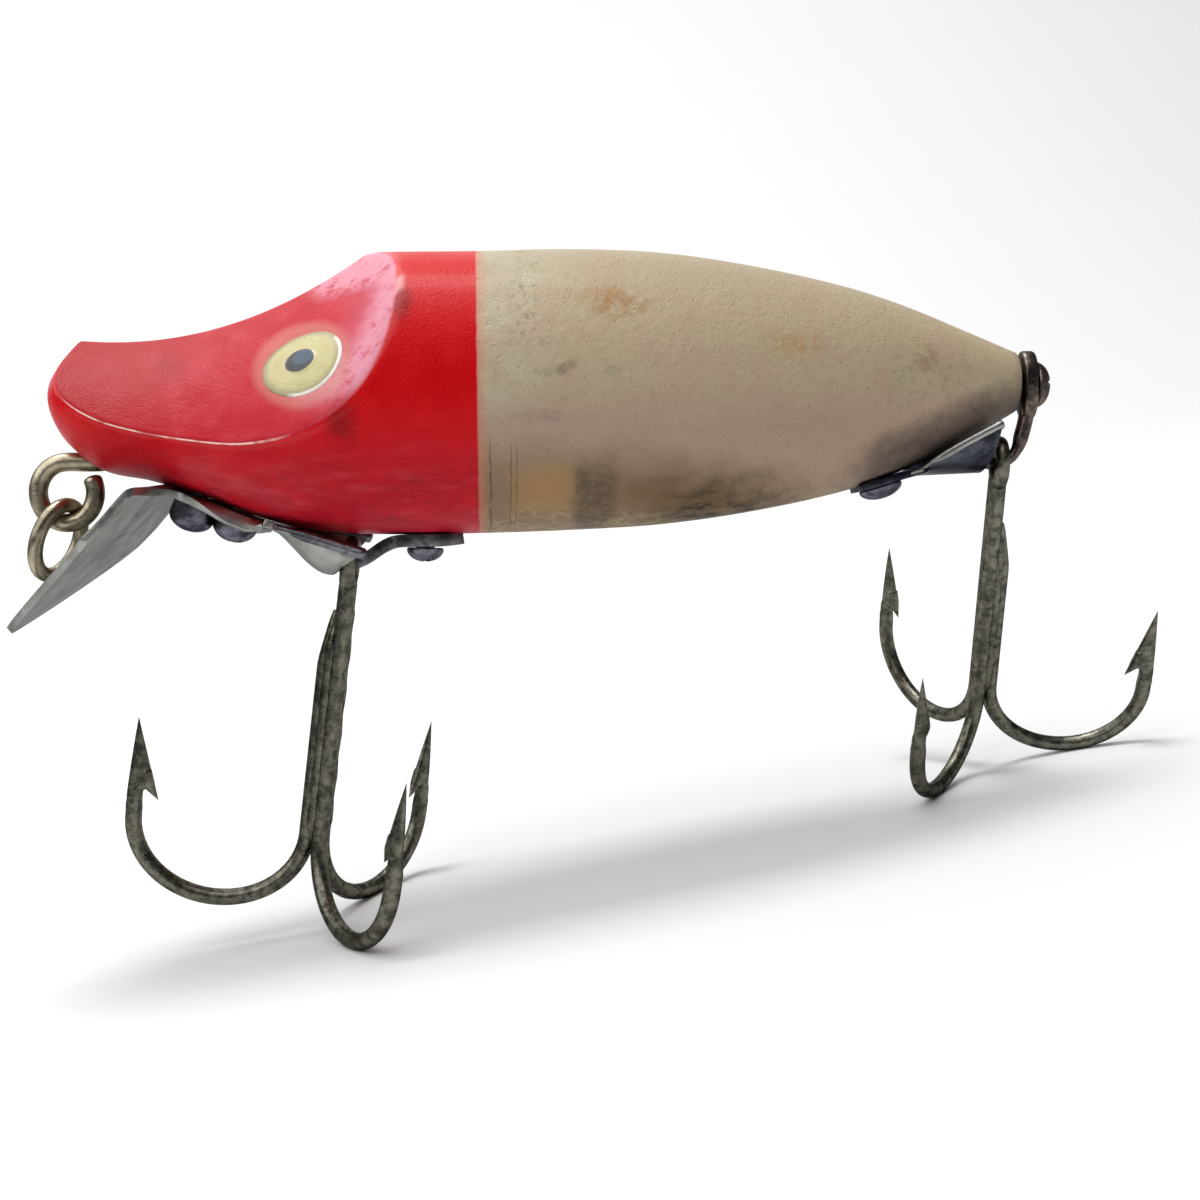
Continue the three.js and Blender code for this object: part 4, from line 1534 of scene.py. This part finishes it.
@dataclass
class Treble:
    """Three barbed hooks brazed round one shank, with an eye at the top.

    Radii are counted from the shank's axis and heights downwards from the middle of the eye.
    """

    node: str
    body: str
    scale: float
    single_side: float
    braze_start: float
    eye: Triple
    turn: Triple
    wire: float = 0.55
    bundle: float = 0.6
    eye_radius: float = 1.4
    eye_wire: float = 0.5
    eye_steps: int = 60
    shank: float = 18.0
    taper_length: float = 3.4
    taper_end: float = 0.34
    bend_width: float = 5.71
    bend_depth: float = 4.93
    bend_steps: int = 40
    tip_radius: float = 12.3
    tip_height: float = 11.5
    barb_radius: float = 10.5
    barb_height: float = 16.9
    barb_start: float = 0.66
    barb_half: float = 0.38
    spear_foot: float = 17.3
    spear_overlap: float = 0.5
    spear_steps: int = 48
    notch: Pair = (0.84, 0.9)
    fillet_radius: float = 0.48
    fillet_half: float = 0.42
    fillet_end: Pair = (17.4, 18.5)

    @property
    def first_angle(self) -> float:
        """Where round the shank the single hook stands."""
        return 0.0 if self.single_side > 0 else math.pi

    @property
    def limb_radius(self) -> float:
        """Radius of the limb's middle line at the top of its bend."""
        return self.bundle + 2 * self.bend_width

    @property
    def limb_top(self) -> float:
        """Radius of the limb's middle line where the spear begins."""
        return self.limb_radius + (self.tip_radius - self.limb_radius) * 0.14

    def matrix(self) -> Matrix:
        """From the treble's own millimetres to the row's frame.

        Returns:
            The whole move.
        """
        angles = Euler([math.radians(value) for value in self.turn], "ZYX")
        own = Matrix.LocRotScale(Vector(self.eye), angles.to_quaternion(), Vector([self.scale] * 3))
        return STANCE.matrix() @ own

    def _place(self, angle: float, radius: Array | float, height: Array | float) -> Array:
        """Points on one side of the shank.

        Args:
            angle: Which side, round the shank.
            radius: Distances from the shank's axis.
            height: Distances below the eye.

        Returns:
            Points of shape (n, 3) in the treble's own frame.
        """
        radius, height = np.broadcast_arrays(np.atleast_1d(radius), np.atleast_1d(height))
        x = self.single_side * self.bundle / 2 + radius * math.cos(angle)
        return np.stack([x, radius * math.sin(angle), -height], axis=1)

    def hook(self, angle: float, start: float, tapered: bool) -> list[Mesh]:
        """One hook.

        Args:
            angle: Which side of the shank it is on.
            start: Where its wire begins, below the eye.
            tapered: Whether the wire starts thin, against the other two.

        Returns:
            Its wire, its spear and its barb.
        """
        turn = np.linspace(0.0, np.pi, self.bend_steps)
        bend = self._place(angle, self.bundle + self.bend_width * (1 - np.cos(turn)),
                           self.shank + self.bend_depth * np.sin(turn))
        rise = np.linspace(start, self.shank, 26)[:-1]
        share = np.clip((rise - start) / self.taper_length, 0.0, 1.0) if tapered else np.ones(len(rise))
        shank = self._place(angle, self.bundle * (0.5 + 0.5 * share), rise)
        radii = self.wire * (self.taper_end + (1 - self.taper_end) * share ** 0.7)
        top = self.limb_top
        foot = self.spear_foot
        limb = self._place(angle, np.array([self.limb_radius, top, top, top + 0.05]),
                           np.array([self.shank - 0.3, foot, foot - 0.8, foot - 1.6]))
        path = np.vstack([shank, bend, limb])
        radii = np.concatenate([radii, self.wire * np.array([1.0] * (len(bend) + 2) + [0.8, 0.5])])
        across = (-math.sin(angle), math.cos(angle), 0.0)
        return [swept(path, radii, 16, across=across), self.spear(angle), self.barb(angle)]

    def spear(self, angle: float) -> Mesh:
        """The limb's upper end, drawn out to a blade and a point.

        Args:
            angle: Which side of the shank it is on.

        Returns:
            The spear's mesh, closed at both ends.
        """
        across = np.array([-math.sin(angle), math.cos(angle), 0.0])
        lowest = self.spear_foot + self.spear_overlap
        height = lowest - (lowest - self.tip_height) * np.linspace(0, 1, self.spear_steps)
        share = np.clip((self.spear_foot - height) / (self.spear_foot - self.tip_height), 0.0, 1.0)
        foot = self.limb_top + self.wire * (0.9 + 0.1 * smooth_step(share, 0.0, 0.1))
        outer = foot + (self.tip_radius - foot) * share ** 1.5
        blade = (height - self.tip_height) / (self.barb_height - self.tip_height)
        barb_line = self.tip_radius + (self.barb_radius - self.tip_radius) * blade
        notch = smooth_step(blade, *self.notch)
        inner = barb_line * (1 - notch) + (self.limb_top - self.wire * 0.94) * notch
        middle = (outer + inner) / 2
        half = np.maximum((outer - inner) / 2, 0.02)
        thick = np.maximum(self.wire * 0.9 * (1 - share ** 1.8), 0.03)
        last = self.spear_steps - 1

        def place(u: Array, v: Array) -> Array:
            """Points round each section; both ends shrink to a point."""
            i = np.rint(u * last).astype(int)
            turn = v * 2 * np.pi
            open_end = np.where((i == 0) | (i == last), 0.0, 1.0)
            points = self._place(angle, middle[i] + half[i] * np.cos(turn) * open_end, height[i])
            return points + np.outer(np.sin(turn) * thick[i] * open_end, across)

        return skin(last, 16, place)

    def barb(self, angle: float) -> Mesh:
        """The sliver raised from the inner side of the limb.

        Args:
            angle: Which side of the shank it is on.

        Returns:
            The barb's mesh.
        """
        across = (-math.sin(angle), math.cos(angle), 0.0)
        blade = np.linspace(self.barb_start, 1.0, 14)
        size = np.minimum(0.02 + 2.1 * (1.0 - blade), self.barb_half)
        radius = self.tip_radius + (self.barb_radius - self.tip_radius) * blade + size
        height = self.tip_height + (self.barb_height - self.tip_height) * blade
        return swept(self._place(angle, radius, height), size, 12, flat=1.1, across=across)

    def braze(self) -> list[Mesh]:
        """Metal run into the grooves between the three shanks.

        Returns:
            Three fillets.
        """
        fillets = []
        for index in range(3):
            angle = self.first_angle + math.radians(60 + 120 * index)
            top = self.eye_radius + 0.3 if index == 1 else self.braze_start / self.scale + 0.8
            height = np.linspace(top, self.shank + 0.4, 24)
            swell = self.fillet_half + 0.04 * np.sin(height * 2.3 + index)
            swell *= smooth_step(height, top - 0.2, top + 1.2) * (1 - smooth_step(height, *self.fillet_end))
            fillets.append(swept(self._place(angle, self.fillet_radius, height), swell + 0.03, 12))
        return fillets

    def build(self) -> None:
        """Make the treble piece."""
        turn = np.linspace(0.0, 2 * np.pi, self.eye_steps, endpoint=False)
        ring = np.stack([np.zeros(self.eye_steps), np.cos(turn), np.sin(turn)], axis=1) * self.eye_radius
        parts = [swept(ring, np.full(self.eye_steps, self.eye_wire), 18, loop=True, across=(1.0, 0.0, 0.0))]
        for side in (1, -1):
            parts += self.hook(self.first_angle + side * math.radians(120), self.eye_radius - 0.1, False)
        parts += self.hook(self.first_angle, self.braze_start / self.scale, True)
        parts += self.braze()
        finish_piece(f"{self.node}_wire", joined(parts), Metal.HOOK.material(), self.node,
                     self.body, self.matrix())


# Studio


@dataclass(frozen=True)
class StudioFloor:
    """Plain pale floor."""

    name: str = "studio_floor"
    colour: Colour = (0.71, 0.71, 0.71, 1.0)

    def make(self) -> Material:
        """Build the material.

        Returns:
            The finished material.
        """
        bench = NodeBench(self.name)
        bench.set(Base_Color=self.colour, Roughness=0.9)
        return bench.material


@dataclass(frozen=True)
class Lamp:
    """One soft square lamp."""

    name: str
    place: Triple
    size: float
    power: float
    aim: Triple = (0.0, 0.0, 0.02)

    def build(self) -> None:
        """Hang the lamp and turn it to its aim."""
        data = bpy.data.lights.new(self.name, "AREA")
        data.shape = "SQUARE"
        data.size = self.size
        data.energy = self.power
        item = bpy.data.objects.new(self.name, data)
        bpy.context.scene.collection.objects.link(item)
        item.location = self.place
        item.rotation_euler = (Vector(self.aim) - Vector(self.place)).to_track_quat("-Z", "Y").to_euler()


@dataclass
class Studio:
    """Floor, lights and camera; the camera's place and directions are in the plug's frame."""

    eye_point: Triple = (0.0034, -114.893, -11.479)
    forward: Triple = (0.06819, 0.99748, -0.01957)
    upward: Triple = (0.01259, 0.01875, 0.99975)
    focal_share: float = 1755.9 / 1200
    sensor: float = 36.0
    clip: Pair = (0.005, 20.0)
    floor_start: float = -0.7
    floor_length: float = 2.2
    floor_width: float = 3.0
    turn_start: float = 0.3
    turn_radius: float = 0.2
    ambient: float = 0.12
    lamps: tuple[Lamp, ...] = (
        Lamp("key", (-0.2, -0.1, 0.46), 0.8, 4.1),
        Lamp("wall", (0.0, 0.1, 0.7), 0.3, 3.7, (0.0, 0.5, 0.25)),
    )

    def camera(self) -> None:
        """Place the camera at the photograph's viewing angle."""
        data = bpy.data.cameras.new("camera")
        data.sensor_fit = "HORIZONTAL"
        data.sensor_width = self.sensor
        data.lens = self.sensor * self.focal_share
        data.clip_start, data.clip_end = self.clip
        item = bpy.data.objects.new("camera", data)
        bpy.context.scene.collection.objects.link(item)
        turn = STANCE.turn().to_matrix()
        forward = (turn @ Vector(self.forward)).normalized()
        upward = (turn @ Vector(self.upward)).normalized()
        right = forward.cross(upward).normalized()
        upward = right.cross(forward)
        place = Matrix((right, upward, -forward)).transposed().to_4x4()
        place.translation = STANCE.matrix() @ Vector(self.eye_point)
        item.matrix_world = place
        bpy.context.scene.camera = item

    def floor(self) -> None:
        """A pale floor that turns up into a backdrop."""
        made = bmesh.new()
        bmesh.ops.create_grid(made, x_segments=2, y_segments=60, size=0.5)
        for vertex in made.verts:
            run = self.floor_start + (vertex.co.y + 0.5) * self.floor_length
            bend = max(0.0, min((run - self.turn_start) / self.turn_radius, math.pi / 2))
            climb = max(0.0, run - self.turn_start - self.turn_radius * math.pi / 2)
            y = min(run, self.turn_start) + self.turn_radius * math.sin(bend)
            z = self.turn_radius * (1 - math.cos(bend)) + climb
            vertex.co = Vector((vertex.co.x * self.floor_width, y, z))
        for face in made.faces:
            face.smooth = True
        stand("floor", made, StudioFloor().make())

    def build(self) -> None:
        """Make the whole studio."""
        scene = bpy.context.scene
        scene.view_settings.view_transform = "Standard"
        self.camera()
        self.floor()
        for lamp in self.lamps:
            lamp.build()
        scene.world = bpy.data.worlds.new("studio")
        scene.world.use_nodes = True
        background = scene.world.node_tree.nodes["Background"]
        background.inputs["Color"].default_value = (1.0, 1.0, 1.0, 1.0)
        background.inputs["Strength"].default_value = self.ambient


FITTINGS = (
    DivingLip(),
    RearCup(),
    HookStrap(),
    TailHanger(),
    Screw("chin_screw_front", (-18.35, -7.62), (-0.3, -0.95), 1.45, 2.0, 20.0, 0.6, 1.0),
    Screw("chin_screw_rear", (-15.72, -8.62), (-0.24, -0.97), 1.44, 1.6, 35.0, 0.5, 0.5),
    Screw("strap_screw", (-3.5, -10.18), (-0.03, -1.0), 1.2, 0.92, 60.0, 0.0),
    Screw("rear_cup_screw", (26.6, -6.68), (0.28, -0.96), 1.45, 0.85, 15.0, 0.28),
    Screw("tail_screw", (37.26, 0.22), (1.0, 0.0), 1.5, 1.0, 80.0, 0.3, metal=Metal.HANGER),
    LineTie(),
    Treble("front_treble", "front_hook", 1.0, -1.0, 3.1, (-8.37, 0.0, -11.25), (5.2, 7.31, -2.52)),
    Treble("rear_treble", "rear_hook", 0.942, 1.0, 4.4, (34.58, 0.0, -4.96), (25.2, -1.62, -6.1)),
)


def main() -> None:
    """Build the studio and every piece of the lure."""
    logging.basicConfig(level=logging.INFO, format="%(name)s: %(message)s")
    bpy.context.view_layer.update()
    Studio().build()
    Plug().build()
    for fitting in FITTINGS:
        fitting.build()


if __name__ == "__main__":
    main()
